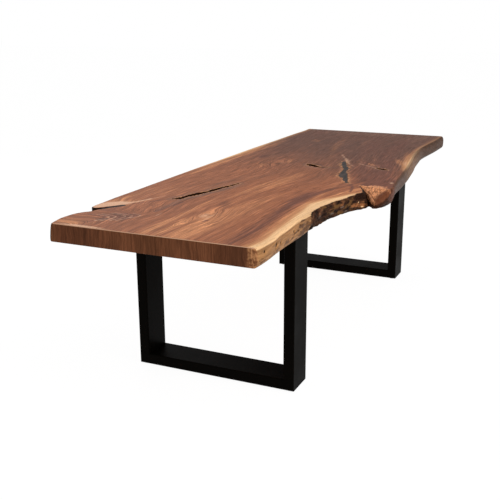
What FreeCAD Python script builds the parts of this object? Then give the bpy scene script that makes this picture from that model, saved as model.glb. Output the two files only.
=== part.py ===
# Live-edge plank table: one thick natural-edge slab on two welded hoop legs of rectangular steel tube.
# Frame: origin on the floor under the middle of the slab's box, +X along the table, +Y towards the
# straighter natural edge, +Z up. Lengths are in millimetres.
import FreeCAD
import Part
import Sketcher
import math
import os

Vector = FreeCAD.Vector

# Driving sizes: alias, value, what it is
SIZES = [
    ("table_height", 750, "floor to tabletop"),
    ("slab_length", 2750, "one square end to the other"),
    ("slab_width", 1013, "widest place of the planed top, knot included"),
    ("slab_thickness", 72, "planed face to planed face"),
    ("front_bulge", 12, "how far the front natural edge swells past the planed faces"),
    ("rear_bulge", 5, "how far the rear natural edge swells past the planed faces"),
    ("knot_drop", 52, "how far the knot's broken face falls below the top"),
    ("long_crack_width", 36, "widest opening of the long crack"),
    ("long_crack_depth", 34, "depth of the long crack"),
    ("short_crack_width", 26, "widest opening of the two short cracks"),
    ("short_crack_depth", 16, "depth of the two short cracks"),
    ("resin_depth", 28, "depth of the filled void beside the knot"),
    ("front_overhang", 210, "widest place of the slab's front to the front uprights"),
    ("rear_overhang", 73, "widest place of the slab's rear to the rear uprights"),
    ("left_overhang", 484, "slab's left end to the left hoop"),
    ("right_overhang", 518, "slab's right end to the right hoop"),
    ("tube_width", 145, "side of the tube that runs along the table"),
    ("tube_depth", 47, "side of the tube that runs across the table"),
    ("tube_wall", 3, "wall of the tube"),
    ("plate_thickness", 8, "top plate"),
    ("plate_corner", 4, "corner radius of the top plate"),
    ("vent_diameter", 10, "coating drain hole over each upright"),
    ("bolt_columns", 4, "bolts across the table on each plate"),
    ("bolt_rows", 2, "bolts along the table on each plate"),
    ("bolt_from_upright", 55, "outermost bolts to the uprights' inner faces"),
    ("bolt_from_side", 28, "bolt rows to the long sides of the plate"),
    ("slot_clearance", 0.5, "gap between plate slot and bolt, a side"),
    ("slot_travel", 11, "room for a bolt to move across the grain"),
    ("bolt_diameter", 8, "thread"),
    ("bolt_tip_gap", 5, "bolt's tip to the insert's far end"),
    ("head_flats", 13, "hex head across flats"),
    ("head_height", 5.3, "hex head"),
    ("washer_diameter", 24, "wide washer that bridges the slot"),
    ("washer_thickness", 2, "wide washer"),
    ("washer_clearance", 0.4, "gap between washer bore and bolt, a side"),
    ("thread_clearance", 0.1, "gap between bolt and insert, a side"),
    ("insert_wall", 2.9, "wall of the threaded insert"),
    ("insert_length", 25, "threaded insert over all"),
    ("flange_lip", 2.5, "threaded insert's flange past its barrel"),
    ("flange_thickness", 1.6, "threaded insert's flange"),
    ("weld_leg", 6, "fillet weld between upright and plate"),
    ("glide_diameter", 32, "floor glide"),
    ("glide_thickness", 3, "floor glide"),
    ("glide_edge", 8, "floor glide to the rail's edge"),
    ("overrun", 5, "how far cutting shapes run past the piece"),
]

# Height profile of a natural edge: share of the thickness, share of the bulge
EDGE_PROFILE_SHARES = [
    (0, 0),
    (0.06, 0.45),
    (0.2, 0.85),
    (0.5, 1),
    (0.8, 0.85),
    (0.94, 0.45),
    (1, 0),
]

# Outlines of the planed faces, as shares of the slab's length and width: length share and width share
# on the top face, then length share and width share on the underside. Width share 0 is the front.
FRONT_NEAR_SHARES = [
    (0, 0.164, 0, 0.165),
    (0.022, 0.152, 0.022, 0.163),
    (0.047, 0.151, 0.047, 0.164),
    (0.073, 0.158, 0.073, 0.167),
    (0.105, 0.162, 0.105, 0.167),
    (0.145, 0.169, 0.145, 0.166),
    (0.196, 0.164, 0.196, 0.17),
    (0.236, 0.163, 0.236, 0.17),
    (0.269, 0.146, 0.269, 0.164),
    (0.302, 0.123, 0.302, 0.145),
    (0.335, 0.107, 0.335, 0.113),
    (0.349, 0.091, 0.347, 0.093),
    (0.365, 0.099, 0.357, 0.082),
    (0.382, 0.119, 0.363, 0.076),
    (0.398, 0.14, 0.369, 0.073),
]
FRONT_FAR_SHARES = [
    (0.398, 0.14, 0.369, 0.073),
    (0.381, 0.113, 0.365, 0.063),
    (0.365, 0.086, 0.359, 0.054),
    (0.354, 0.057, 0.357, 0.041),
    (0.361, 0.023, 0.362, 0.026),
    (0.379, 0.002, 0.379, 0.015),
    (0.404, 0, 0.404, 0.012),
    (0.436, 0.011, 0.436, 0.024),
    (0.473, 0.023, 0.473, 0.036),
    (0.516, 0.037, 0.516, 0.042),
    (0.567, 0.053, 0.567, 0.052),
    (0.618, 0.072, 0.618, 0.067),
    (0.676, 0.095, 0.676, 0.087),
    (0.727, 0.117, 0.727, 0.108),
    (0.775, 0.129, 0.775, 0.123),
    (0.822, 0.133, 0.822, 0.135),
    (0.873, 0.127, 0.873, 0.13),
    (0.931, 0.119, 0.931, 0.121),
    (0.975, 0.118, 0.975, 0.118),
    (1, 0.116, 1, 0.117),
]
REAR_FAR_SHARES = [
    (1, 0.988, 1, 0.983),
    (0.964, 0.986, 0.964, 0.981),
    (0.891, 0.992, 0.891, 0.987),
    (0.82, 0.993, 0.82, 0.988),
    (0.665, 1, 0.665, 0.995),
    (0.527, 1, 0.527, 0.996),
    (0.408, 1, 0.408, 0.996),
    (0.301, 0.998, 0.301, 0.994),
    (0.233, 0.996, 0.233, 0.992),
    (0.171, 0.996, 0.171, 0.991),
    (0.135, 0.992, 0.135, 0.988),
    (0.112, 0.991, 0.112, 0.984),
    (0.101, 0.985, 0.102, 0.976),
    (0.098, 0.962, 0.101, 0.954),
    (0.107, 0.932, 0.109, 0.93),
    (0.126, 0.891, 0.125, 0.888),
]
REAR_NEAR_SHARES = [
    (0.126, 0.891, 0.125, 0.888),
    (0.111, 0.917, 0.111, 0.907),
    (0.095, 0.937, 0.095, 0.927),
    (0.079, 0.948, 0.079, 0.94),
    (0.069, 0.969, 0.069, 0.962),
    (0.054, 0.984, 0.054, 0.977),
    (0.031, 0.988, 0.031, 0.988),
    (0.015, 0.981, 0.015, 0.986),
    (0, 0.971, 0, 0.98),
]

# Cracks, as length share, width share and share of the crack's widest opening
LONG_CRACK_SHARES = [
    (0.196, 0.762, 0.2),
    (0.203, 0.743, 0.8),
    (0.216, 0.737, 0.6),
    (0.234, 0.722, 1),
    (0.247, 0.712, 0.9),
    (0.262, 0.695, 0.5),
    (0.275, 0.689, 0.7),
    (0.297, 0.68, 0.5),
    (0.312, 0.666, 0.4),
    (0.337, 0.652, 0.15),
]
HOOK_CRACK_SHARES = [
    (0.551, 0.544, 0.2),
    (0.548, 0.516, 1),
    (0.541, 0.486, 0.8),
    (0.536, 0.46, 0.5),
    (0.541, 0.444, 0.15),
]
EDGE_CRACK_SHARES = [
    (0.563, 0.193, 0.2),
    (0.557, 0.171, 0.8),
    (0.553, 0.149, 1),
    (0.548, 0.124, 0.2),
]

# Outline of the filled void, as shares of the slab's length and width
VOID_SHARES = [
    (0.597, 0.403),
    (0.608, 0.389),
    (0.579, 0.355),
    (0.537, 0.311),
    (0.504, 0.289),
    (0.47, 0.255),
    (0.409, 0.201),
    (0.418, 0.226),
    (0.449, 0.265),
    (0.463, 0.299),
    (0.495, 0.316),
    (0.515, 0.319),
    (0.556, 0.361),
]

# Outline of the knot's broken face, as shares of the slab's length and width. The face starts level with
# the top between the first two corners and falls away from them.
KNOT_FACE_SHARES = [
    (0.402, 0.146),
    (0.385, -0.028),
    (0.342, -0.028),
    (0.349, 0.064),
    (0.364, 0.092),
    (0.381, 0.1155),
    (0.398, 0.14),
]

ALONG_SIDES = {"left": -1, "right": 1}
ACROSS_SIDES = {"front": -1, "rear": 1}
MITRE_ANGLE = 45
HEX_SIDES = 6
GLIDE_ROWS = 2
GLIDE_COLUMNS = 2

document = FreeCAD.newDocument("plank_table")
sheet = document.addObject("Spreadsheet::Sheet", "Sizes")
for row, (alias, value, meaning) in enumerate(SIZES, start=1):
    sheet.set(f"A{row}", alias)
    sheet.set(f"B{row}", str(value))
    sheet.set(f"C{row}", meaning)
    sheet.setAlias(f"B{row}", alias)
document.recompute()

# Heights and places that several pieces share, written as sums of sheet cells
SLAB_UNDERSIDE = "(Sizes.table_height - Sizes.slab_thickness)"
PLATE_UNDERSIDE = f"({SLAB_UNDERSIDE} - Sizes.plate_thickness)"
UPRIGHT_HEIGHT = f"({PLATE_UNDERSIDE} - Sizes.glide_thickness)"
LEG_WIDTH = "(Sizes.slab_width - Sizes.front_overhang - Sizes.rear_overhang)"
LEG_LINE = "((Sizes.front_overhang - Sizes.rear_overhang) / 2)"
LEG_FROM_MIDDLE = {
    side: f"(Sizes.slab_length / 2 - Sizes.{side}_overhang - Sizes.tube_width / 2)" for side in ALONG_SIDES
}

# Cold-formed tube bends to an outer radius of twice its wall
TUBE_CORNER = "(2 * Sizes.tube_wall)"

# Sizes that follow from the bolt: plate slot, insert and the bolt's own length
SLOT_WIDTH = "(Sizes.bolt_diameter + 2 * Sizes.slot_clearance)"
INSERT_BORE = "(Sizes.bolt_diameter + 2 * Sizes.thread_clearance)"
INSERT_DIAMETER = f"({INSERT_BORE} + 2 * Sizes.insert_wall)"
FLANGE_DIAMETER = f"({INSERT_DIAMETER} + 2 * Sizes.flange_lip)"
GRIP = "(Sizes.washer_thickness + Sizes.plate_thickness)"
BOLT_LENGTH = f"({GRIP} + Sizes.insert_length - Sizes.bolt_tip_gap)"

# Counts and spans of the bolts and of the floor glides, across the table and then along it
BOLT_SPAN_ACROSS = f"({LEG_WIDTH} - 2 * (Sizes.tube_depth + Sizes.bolt_from_upright))"
BOLT_SPAN_ALONG = "(Sizes.tube_width - 2 * Sizes.bolt_from_side)"
BOLT_GRID = (("Sizes.bolt_columns", BOLT_SPAN_ACROSS), ("Sizes.bolt_rows", BOLT_SPAN_ALONG))
GLIDE_SPAN_ACROSS = f"({LEG_WIDTH} - Sizes.glide_diameter - 2 * Sizes.glide_edge)"
GLIDE_SPAN_ALONG = "(Sizes.tube_width - Sizes.glide_diameter - 2 * Sizes.glide_edge)"
GLIDE_GRID = ((f"{GLIDE_COLUMNS}", GLIDE_SPAN_ACROSS), (f"{GLIDE_ROWS}", GLIDE_SPAN_ALONG))

pieces = []


def size(alias):
    """Value of one cell of the sheet."""
    return float(getattr(sheet, alias))


def worked_out(expression):
    """Value of a sum of sheet cells."""
    return float(sheet.evalExpression(expression))


def bind(item, **expressions):
    """Tie properties of an object to the sheet; a double underscore stands for a dot."""
    for name, expression in expressions.items():
        item.setExpression(name.replace("__", "."), expression)


def new_body(label):
    """A body for one node, with room for separate like solids."""
    body = document.addObject("PartDesign::Body", label)
    body.Label = label
    body.AllowCompound = True
    pieces.append(body)
    return body


def origin_feature(body, role):
    """One of the body's own origin planes or axes."""
    return next(feature for feature in body.Origin.OriginFeatures if feature.Role == role)


def new_sketch(body, name, role):
    """A sketch on one of the body's own origin planes."""
    sketch = body.newObject("Sketcher::SketchObject", name)
    sketch.AttachmentSupport = (origin_feature(body, role), [""])
    sketch.MapMode = "FlatFace"
    return sketch


def line(sketch, start, end):
    """One line of a sketch; gives its number."""
    return sketch.addGeometry(Part.LineSegment(Vector(*start), Vector(*end)), False)


def drive(sketch, kind, geometry, expression):
    """A dimension of a sketch that follows the sheet."""
    number = sketch.addConstraint(Sketcher.Constraint(kind, *geometry, worked_out(expression)))
    sketch.setExpression(f"Constraints[{number}]", expression)


def centred_rectangle(sketch, width, height):
    """A rectangle about the sketch's origin; width and height are expressions."""
    x = worked_out(width) / 2
    y = worked_out(height) / 2
    corners = [(-x, -y, 0), (x, -y, 0), (x, y, 0), (-x, y, 0)]
    sides = [line(sketch, corners[k], corners[(k + 1) % 4]) for k in range(4)]
    for k in range(4):
        sketch.addConstraint(Sketcher.Constraint("Coincident", sides[k], 2, sides[(k + 1) % 4], 1))
    for k in (0, 2):
        sketch.addConstraint(Sketcher.Constraint("Horizontal", sides[k]))
        sketch.addConstraint(Sketcher.Constraint("Vertical", sides[k + 1]))
    sketch.addConstraint(Sketcher.Constraint("Symmetric", sides[0], 1, sides[2], 1, -1, 1))
    drive(sketch, "DistanceX", (sides[0], 1, sides[0], 2), width)
    drive(sketch, "DistanceY", (sides[1], 1, sides[1], 2), height)


def pad(body, sketch, name, expression):
    """Grow a sketch along its normal."""
    feature = body.newObject("PartDesign::Pad", name)
    feature.Profile = sketch
    bind(feature, Length=expression)
    document.recompute()
    return feature


def fillet(body, base, name, edges, expression):
    """Round the named edges of a feature."""
    feature = body.newObject("PartDesign::Fillet", name)
    feature.Base = (base, edges)
    bind(feature, Radius=expression)
    document.recompute()
    return feature


def upright_edges(shape, half_width):
    """Names of the edges along Z that stand at plus or minus half_width from the middle."""
    names = []
    for number, edge in enumerate(shape.Edges, start=1):
        box = edge.BoundBox
        along_z = max(box.XLength, box.YLength) < box.ZLength / 2
        if along_z and math.isclose(abs(box.Center.x), half_width, rel_tol=1e-6):
            names.append(f"Edge{number}")
    return names


def spread(body, originals, across, along):
    """Repeat features in rows and columns; across and along give cells for count and span."""
    pattern = body.newObject("PartDesign::LinearPattern", "Spread")
    pattern.Originals = originals
    pattern.Direction = (origin_feature(body, "Y_Axis"), [""])
    pattern.Mode = "Extent"
    pattern.Direction2 = (origin_feature(body, "X_Axis"), [""])
    pattern.Mode2 = "Extent"
    bind(pattern, Occurrences=across[0], Length=across[1], Occurrences2=along[0], Length2=along[1])
    body.Tip = pattern
    document.recompute()
    return pattern


def stand_on_leg_line(item, side, height):
    """Put a piece on the middle of a hoop, at a height."""
    bind(
        item,
        Placement__Base__x=f"{ALONG_SIDES[side]} * {LEG_FROM_MIDDLE[side]}",
        Placement__Base__y=LEG_LINE,
        Placement__Base__z=height,
    )


def mitre(body, name, height_expression, turn, start):
    """Cut a tube's end at the mitre angle. start is the side of the tube that the cut begins at."""
    cut = body.newObject("PartDesign::SubtractiveBox", name)
    bind(
        cut,
        Length="Sizes.tube_width + 2 * Sizes.overrun",
        Width="2 * (Sizes.tube_depth + Sizes.overrun)",
        Height="Sizes.tube_depth + Sizes.overrun",
        Placement__Base__x="-Sizes.tube_width / 2 - Sizes.overrun",
        Placement__Base__y=f"{start} * (Sizes.tube_depth / 2 + Sizes.overrun)",
        Placement__Base__z=height_expression,
    )
    cut.Placement.Rotation = FreeCAD.Rotation(Vector(1, 0, 0), turn)
    document.recompute()


def tube(label, length_expression, mitred_ends):
    """A rectangular tube along its own Z, mitred towards its outer +Y side at one or both ends."""
    body = new_body(label)
    sketch = new_sketch(body, f"{label}_section", "XY_Plane")
    centred_rectangle(sketch, "Sizes.tube_width", "Sizes.tube_depth")
    both_walls = "2 * Sizes.tube_wall"
    centred_rectangle(sketch, f"Sizes.tube_width - {both_walls}", f"Sizes.tube_depth - {both_walls}")
    blank = pad(body, sketch, f"{label}_blank", length_expression)
    outer_edges = upright_edges(blank.Shape, size("tube_width") / 2)
    outer = fillet(body, blank, f"{label}_outer_corners", outer_edges, TUBE_CORNER)
    inner_edges = upright_edges(outer.Shape, size("tube_width") / 2 - size("tube_wall"))
    fillet(body, outer, f"{label}_inner_corners", inner_edges, f"{TUBE_CORNER} - Sizes.tube_wall")
    mitre(body, f"{label}_lower_mitre", "-Sizes.overrun", 180 - MITRE_ANGLE, 1)
    if mitred_ends > 1:
        top = f"{length_expression} - Sizes.tube_depth - Sizes.overrun"
        mitre(body, f"{label}_upper_mitre", top, MITRE_ANGLE, -1)
    return body


def upright(side, place):
    """One upright of a hoop, from the floor rail's mitre to the top plate."""
    body = tube(f"{side}_leg_{place}_upright", UPRIGHT_HEIGHT, 1)
    sign = ACROSS_SIDES[place]
    body.Placement.Rotation = FreeCAD.Rotation(Vector(0, 0, 1), 90 - sign * 90)
    stand_on_leg_line(body, side, "Sizes.glide_thickness")
    reach = f"{sign} * ({LEG_WIDTH} - Sizes.tube_depth) / 2"
    bind(body, Placement__Base__y=f"{LEG_LINE} + {reach}")


def floor_rail(side):
    """The tube along the floor, mitred to both uprights."""
    body = tube(f"{side}_leg_floor_rail", LEG_WIDTH, 2)
    body.Placement.Rotation = FreeCAD.Rotation(Vector(1, 0, 0), -90)
    stand_on_leg_line(body, side, "Sizes.glide_thickness + Sizes.tube_depth / 2")
    bind(body, Placement__Base__y=f"{LEG_LINE} - {LEG_WIDTH} / 2")


def slot_outline(sketch):
    """A slot about the sketch's first bolt place, long across the grain."""
    radius = worked_out(SLOT_WIDTH) / 2
    reach = size("slot_travel") / 2
    x = -worked_out(BOLT_SPAN_ALONG) / 2
    y = -worked_out(BOLT_SPAN_ACROSS) / 2
    up = Vector(0, 0, 1)
    far_end = Part.ArcOfCircle(Part.Circle(Vector(x, y + reach, 0), up, radius), 0, math.pi)
    near_end = Part.ArcOfCircle(Part.Circle(Vector(x, y - reach, 0), up, radius), math.pi, 2 * math.pi)
    far_arc = sketch.addGeometry(far_end, False)
    near_arc = sketch.addGeometry(near_end, False)
    left = line(sketch, (x - radius, y + reach, 0), (x - radius, y - reach, 0))
    right = line(sketch, (x + radius, y - reach, 0), (x + radius, y + reach, 0))
    sketch.addConstraint(Sketcher.Constraint("Tangent", far_arc, 2, left, 1))
    sketch.addConstraint(Sketcher.Constraint("Tangent", left, 2, near_arc, 1))
    sketch.addConstraint(Sketcher.Constraint("Tangent", near_arc, 2, right, 1))
    sketch.addConstraint(Sketcher.Constraint("Tangent", right, 2, far_arc, 1))
    sketch.addConstraint(Sketcher.Constraint("Vertical", left))
    drive(sketch, "Radius", (far_arc,), f"{SLOT_WIDTH} / 2")
    drive(sketch, "DistanceY", (near_arc, 3, far_arc, 3), "Sizes.slot_travel")
    drive(sketch, "DistanceX", (near_arc, 3, -1, 1), f"{BOLT_SPAN_ALONG} / 2")
    drive(sketch, "DistanceY", (near_arc, 3, -1, 1), f"({BOLT_SPAN_ACROSS} + Sizes.slot_travel) / 2")


def top_plate(side):
    """The slotted plate under the slab, with a drain hole over each upright."""
    body = new_body(f"{side}_leg_top_plate")
    sketch = new_sketch(body, f"{side}_plate_outline", "XY_Plane")
    centred_rectangle(sketch, "Sizes.tube_width", LEG_WIDTH)
    blank = pad(body, sketch, f"{side}_plate_blank", "Sizes.plate_thickness")
    corners = []
    for number, edge in enumerate(blank.Shape.Edges, start=1):
        if edge.BoundBox.ZLength > size("plate_thickness") / 2:
            corners.append(f"Edge{number}")
    fillet(body, blank, f"{side}_plate_corners", corners, "Sizes.plate_corner")
    for place, sign in ACROSS_SIDES.items():
        vent = body.newObject("PartDesign::SubtractiveCylinder", f"{side}_{place}_vent")
        bind(
            vent,
            Radius="Sizes.vent_diameter / 2",
            Height="Sizes.plate_thickness + 2 * Sizes.overrun",
            Placement__Base__y=f"{sign} * ({LEG_WIDTH} - Sizes.tube_depth) / 2",
            Placement__Base__z="-Sizes.overrun",
        )
        document.recompute()
    slot_sketch = new_sketch(body, f"{side}_slot_outline", "XY_Plane")
    slot_outline(slot_sketch)
    slot = body.newObject("PartDesign::Pocket", f"{side}_slot")
    slot.Profile = slot_sketch
    slot.Type = "ThroughAll"
    slot.Reversed = True
    document.recompute()
    spread(body, [slot], *BOLT_GRID)
    stand_on_leg_line(body, side, PLATE_UNDERSIDE)


def round_feature(body, kind, name, diameter, height, grid=BOLT_GRID):
    """A cylinder at the first place of a grid, added or taken away."""
    feature = body.newObject(f"PartDesign::{kind}Cylinder", name)
    bind(
        feature,
        Radius=f"({diameter}) / 2",
        Height=height,
        Placement__Base__x=f"-{grid[1][1]} / 2",
        Placement__Base__y=f"-{grid[0][1]} / 2",
    )
    document.recompute()
    return feature


def bolts(side):
    """Hex head bolts, heads down, with their shanks up through the plate."""
    body = new_body(f"{side}_leg_bolts")
    head = body.newObject("PartDesign::AdditivePrism", f"{side}_bolt_head")
    head.Polygon = HEX_SIDES
    bind(
        head,
        Circumradius=f"Sizes.head_flats / 2 / cos(180deg / {HEX_SIDES})",
        Height="Sizes.head_height",
        Placement__Base__x=f"-{BOLT_GRID[1][1]} / 2",
        Placement__Base__y=f"-{BOLT_GRID[0][1]} / 2",
        Placement__Base__z="-Sizes.head_height",
    )
    document.recompute()
    shank = round_feature(body, "Additive", f"{side}_bolt_shank", "Sizes.bolt_diameter", BOLT_LENGTH)
    spread(body, [head, shank], *BOLT_GRID)
    stand_on_leg_line(body, side, f"{PLATE_UNDERSIDE} - Sizes.washer_thickness")


def washers(side):
    """Wide washers that bridge the plate's slots."""
    body = new_body(f"{side}_leg_washers")
    thickness = "Sizes.washer_thickness"
    outside = "Sizes.washer_diameter"
    inside = "Sizes.bolt_diameter + 2 * Sizes.washer_clearance"
    disc = round_feature(body, "Additive", f"{side}_washer_disc", outside, thickness)
    bore = round_feature(body, "Subtractive", f"{side}_washer_bore", inside, thickness)
    spread(body, [disc, bore], *BOLT_GRID)
    stand_on_leg_line(body, side, f"{PLATE_UNDERSIDE} - {thickness}")


def inserts(side):
    """Threaded inserts, let into the slab's underside with their flanges flush."""
    body = new_body(f"{side}_leg_inserts")
    length = "Sizes.insert_length"
    lip = "Sizes.flange_thickness"
    barrel = round_feature(body, "Additive", f"{side}_insert_barrel", INSERT_DIAMETER, length)
    flange = round_feature(body, "Additive", f"{side}_insert_flange", FLANGE_DIAMETER, lip)
    bore = round_feature(body, "Subtractive", f"{side}_insert_bore", INSERT_BORE, length)
    spread(body, [barrel, flange, bore], *BOLT_GRID)
    stand_on_leg_line(body, side, SLAB_UNDERSIDE)


def glides(side):
    """Round floor glides under the rail."""
    body = new_body(f"{side}_leg_glides")
    diameter = "Sizes.glide_diameter"
    disc = round_feature(body, "Additive", f"{side}_glide", diameter, "Sizes.glide_thickness", GLIDE_GRID)
    spread(body, [disc], *GLIDE_GRID)
    stand_on_leg_line(body, side, "0")


def plate_welds(side):
    """Fillet beads in the corners between the uprights' inner faces and the plate."""
    body = new_body(f"{side}_leg_plate_welds")
    sketch = new_sketch(body, f"{side}_weld_section", "YZ_Plane")
    bead = size("weld_leg")
    corner = worked_out(LEG_WIDTH) / 2 - size("tube_depth")
    along_plate = line(sketch, (corner - bead, 0, 0), (corner, 0, 0))
    down_tube = line(sketch, (corner, 0, 0), (corner, -bead, 0))
    slope = line(sketch, (corner, -bead, 0), (corner - bead, 0, 0))
    sketch.addConstraint(Sketcher.Constraint("Coincident", along_plate, 2, down_tube, 1))
    sketch.addConstraint(Sketcher.Constraint("Coincident", down_tube, 2, slope, 1))
    sketch.addConstraint(Sketcher.Constraint("Coincident", slope, 2, along_plate, 1))
    sketch.addConstraint(Sketcher.Constraint("PointOnObject", along_plate, 1, -1))
    sketch.addConstraint(Sketcher.Constraint("PointOnObject", along_plate, 2, -1))
    sketch.addConstraint(Sketcher.Constraint("Vertical", down_tube))
    sketch.addConstraint(Sketcher.Constraint("Equal", along_plate, down_tube))
    drive(sketch, "DistanceX", (along_plate, 1, along_plate, 2), "Sizes.weld_leg")
    drive(sketch, "DistanceX", (-1, 1, along_plate, 2), f"{LEG_WIDTH} / 2 - Sizes.tube_depth")
    bead_length = f"Sizes.tube_width - 2 * {TUBE_CORNER}"
    one_side = pad(body, sketch, f"{side}_weld_bead", bead_length)
    one_side.SideType = "Symmetric"
    both_sides = body.newObject("PartDesign::Mirrored", f"{side}_weld_beads")
    both_sides.Originals = [one_side]
    both_sides.MirrorPlane = (origin_feature(body, "XZ_Plane"), [""])
    body.Tip = both_sides
    document.recompute()
    stand_on_leg_line(body, side, PLATE_UNDERSIDE)


def place(length_share, width_share, height):
    """A point of the slab from shares of its length and width."""
    x = (length_share - 0.5) * size("slab_length")
    y = (width_share - 0.5) * size("slab_width")
    return Vector(x, y, height)


def edge_curve(rows, height_share, swell):
    """One natural edge at one height, as a smooth curve through the outline's points."""
    height = size("table_height") - (1 - height_share) * size("slab_thickness")
    points = []
    for top_length, top_width, low_length, low_width in rows:
        length_share = low_length + (top_length - low_length) * height_share
        width_share = low_width + (top_width - low_width) * height_share
        points.append(place(length_share, width_share, height) + Vector(0, swell, 0))
    curve = Part.BSplineCurve()
    curve.interpolate(Points=points, Parameters=[float(number) for number in range(len(points))])
    return curve.toShape()


def slab_outline(height_share, swell_share):
    """The slab's whole outline at one height."""
    front_swell = -swell_share * size("front_bulge")
    rear_swell = swell_share * size("rear_bulge")
    front_near = edge_curve(FRONT_NEAR_SHARES, height_share, front_swell)
    front_far = edge_curve(FRONT_FAR_SHARES, height_share, front_swell)
    rear_far = edge_curve(REAR_FAR_SHARES, height_share, rear_swell)
    rear_near = edge_curve(REAR_NEAR_SHARES, height_share, rear_swell)
    far_end = Part.makeLine(front_far.Vertexes[-1].Point, rear_far.Vertexes[0].Point)
    near_end = Part.makeLine(rear_near.Vertexes[-1].Point, front_near.Vertexes[0].Point)
    return Part.Wire([front_near, front_far, far_end, rear_far, rear_near, near_end])


def sunk_prism(points, depth):
    """A prism that reaches from above the tabletop down to a depth."""
    top = size("table_height") + size("overrun")
    raised = [Vector(point.x, point.y, top) for point in points]
    face = Part.Face(Part.makePolygon(raised + raised[:1]))
    return face.extrude(Vector(0, 0, -size("overrun") - depth))


def crack(rows, width, depth):
    """A crack that follows its middle line and opens by each row's share of the width."""
    middle = [place(row[0], row[1], 0) for row in rows]
    left = []
    right = []
    for number, row in enumerate(rows):
        before = middle[max(number - 1, 0)]
        after = middle[min(number + 1, len(rows) - 1)]
        along = (after - before).normalize()
        aside = Vector(-along.y, along.x, 0) * (row[2] * width / 2)
        left.append(middle[number] + aside)
        right.append(middle[number] - aside)
    return sunk_prism(left + right[::-1], depth)


def knot_break():
    """The wedge above the knot's broken, sloping face."""
    level = [place(*row, size("table_height")) for row in KNOT_FACE_SHARES]
    distances = [point.distanceToLine(level[0], level[1] - level[0]) for point in level]
    slope = size("knot_drop") / max(distances)
    corners = [point - Vector(0, 0, slope * away) for point, away in zip(level, distances)]
    face = Part.Face(Part.makePolygon(corners + corners[:1]))
    return face.extrude(Vector(0, 0, size("knot_drop") + size("overrun")))


def bolt_places(count_alias, span_expression, middle):
    """Even places of the bolts over a span, in one direction."""
    count = int(size(count_alias))
    span = worked_out(span_expression)
    step = span / max(count - 1, 1)
    return [middle - span / 2 + number * step for number in range(count)]


def insert_holes():
    """Holes for the threaded inserts, with a seat for each flange."""
    barrel = worked_out(INSERT_DIAMETER) / 2
    flange = worked_out(FLANGE_DIAMETER) / 2
    up = Vector(0, 0, 1)
    holes = []
    for side, sign in ALONG_SIDES.items():
        middle = sign * worked_out(LEG_FROM_MIDDLE[side])
        for x in bolt_places("bolt_rows", BOLT_SPAN_ALONG, middle):
            for y in bolt_places("bolt_columns", BOLT_SPAN_ACROSS, worked_out(LEG_LINE)):
                foot = Vector(x, y, worked_out(SLAB_UNDERSIDE))
                holes.append(Part.makeCylinder(barrel, size("insert_length"), foot, up))
                holes.append(Part.makeCylinder(flange, size("flange_thickness"), foot, up))
    return holes


def slab_and_resin():
    """The slab with its cracks, broken knot, filled void and insert holes, and the void's filling."""
    sections = [slab_outline(*row) for row in EDGE_PROFILE_SHARES]
    blank = Part.makeLoft(sections, True, True)
    void = sunk_prism([place(*row, 0) for row in VOID_SHARES], size("resin_depth"))
    cuts = [
        crack(LONG_CRACK_SHARES, size("long_crack_width"), size("long_crack_depth")),
        crack(HOOK_CRACK_SHARES, size("short_crack_width"), size("short_crack_depth")),
        crack(EDGE_CRACK_SHARES, size("short_crack_width"), size("short_crack_depth")),
        knot_break(),
    ]
    middle = blank.optimalBoundingBox(False, False).Center
    to_frame = Vector(-middle.x, -middle.y, 0)
    slab = document.addObject("Part::Feature", "live_edge_slab")
    slab.Shape = blank.cut(cuts + [void]).translated(to_frame).cut(insert_holes())
    resin = document.addObject("Part::Feature", "knot_void_resin")
    resin.Shape = blank.common(void).translated(to_frame)
    for item in (slab, resin):
        item.Label = item.Name
        pieces.append(item)


slab_and_resin()
for side_name in ALONG_SIDES:
    for place_name in ACROSS_SIDES:
        upright(side_name, place_name)
    floor_rail(side_name)
    top_plate(side_name)
    plate_welds(side_name)
    bolts(side_name)
    washers(side_name)
    inserts(side_name)
    glides(side_name)
document.recompute()

for item in document.Objects:
    if "Invalid" in item.State or "Error" in item.State:
        raise RuntimeError(f"{item.Label} failed: {item.State}")
for piece in pieces:
    if piece.Shape.isNull() or not piece.Shape.isValid() or not piece.Shape.Solids:
        raise RuntimeError(f"{piece.Label} has no valid solid")

os.makedirs("parts", exist_ok=True)
for piece in pieces:
    piece.Shape.exportStep(os.path.join("parts", f"{piece.Label}.step"))
    box = piece.Shape.BoundBox
    print(
        f"{piece.Label}: {len(piece.Shape.Solids)} solids, {piece.Shape.Volume:.0f} mm3, "
        f"x {box.XMin:.1f} to {box.XMax:.1f}, y {box.YMin:.1f} to {box.YMax:.1f}, "
        f"z {box.ZMin:.1f} to {box.ZMax:.1f}"
    )
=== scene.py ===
import math

import bpy
import numpy as np
from mathutils import Matrix, Vector, geometry, kdtree, noise


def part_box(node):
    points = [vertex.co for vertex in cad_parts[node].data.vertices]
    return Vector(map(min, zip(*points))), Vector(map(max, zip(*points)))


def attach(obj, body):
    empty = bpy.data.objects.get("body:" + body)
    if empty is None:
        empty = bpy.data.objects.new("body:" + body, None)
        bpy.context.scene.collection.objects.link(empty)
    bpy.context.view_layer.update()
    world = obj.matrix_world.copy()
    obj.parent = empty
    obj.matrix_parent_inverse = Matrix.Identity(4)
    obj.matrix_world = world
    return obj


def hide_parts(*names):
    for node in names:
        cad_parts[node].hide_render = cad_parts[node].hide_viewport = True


bl_info = {
    "name": "Live-edge plank table",
    "version": (1, 0, 0),
    "blender": (4, 5, 0),
    "location": "View3D > Sidebar > Plank table",
    "description": "Dresses a live-edge plank table on two steel hoop legs",
    "category": "Add Mesh",
}

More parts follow.
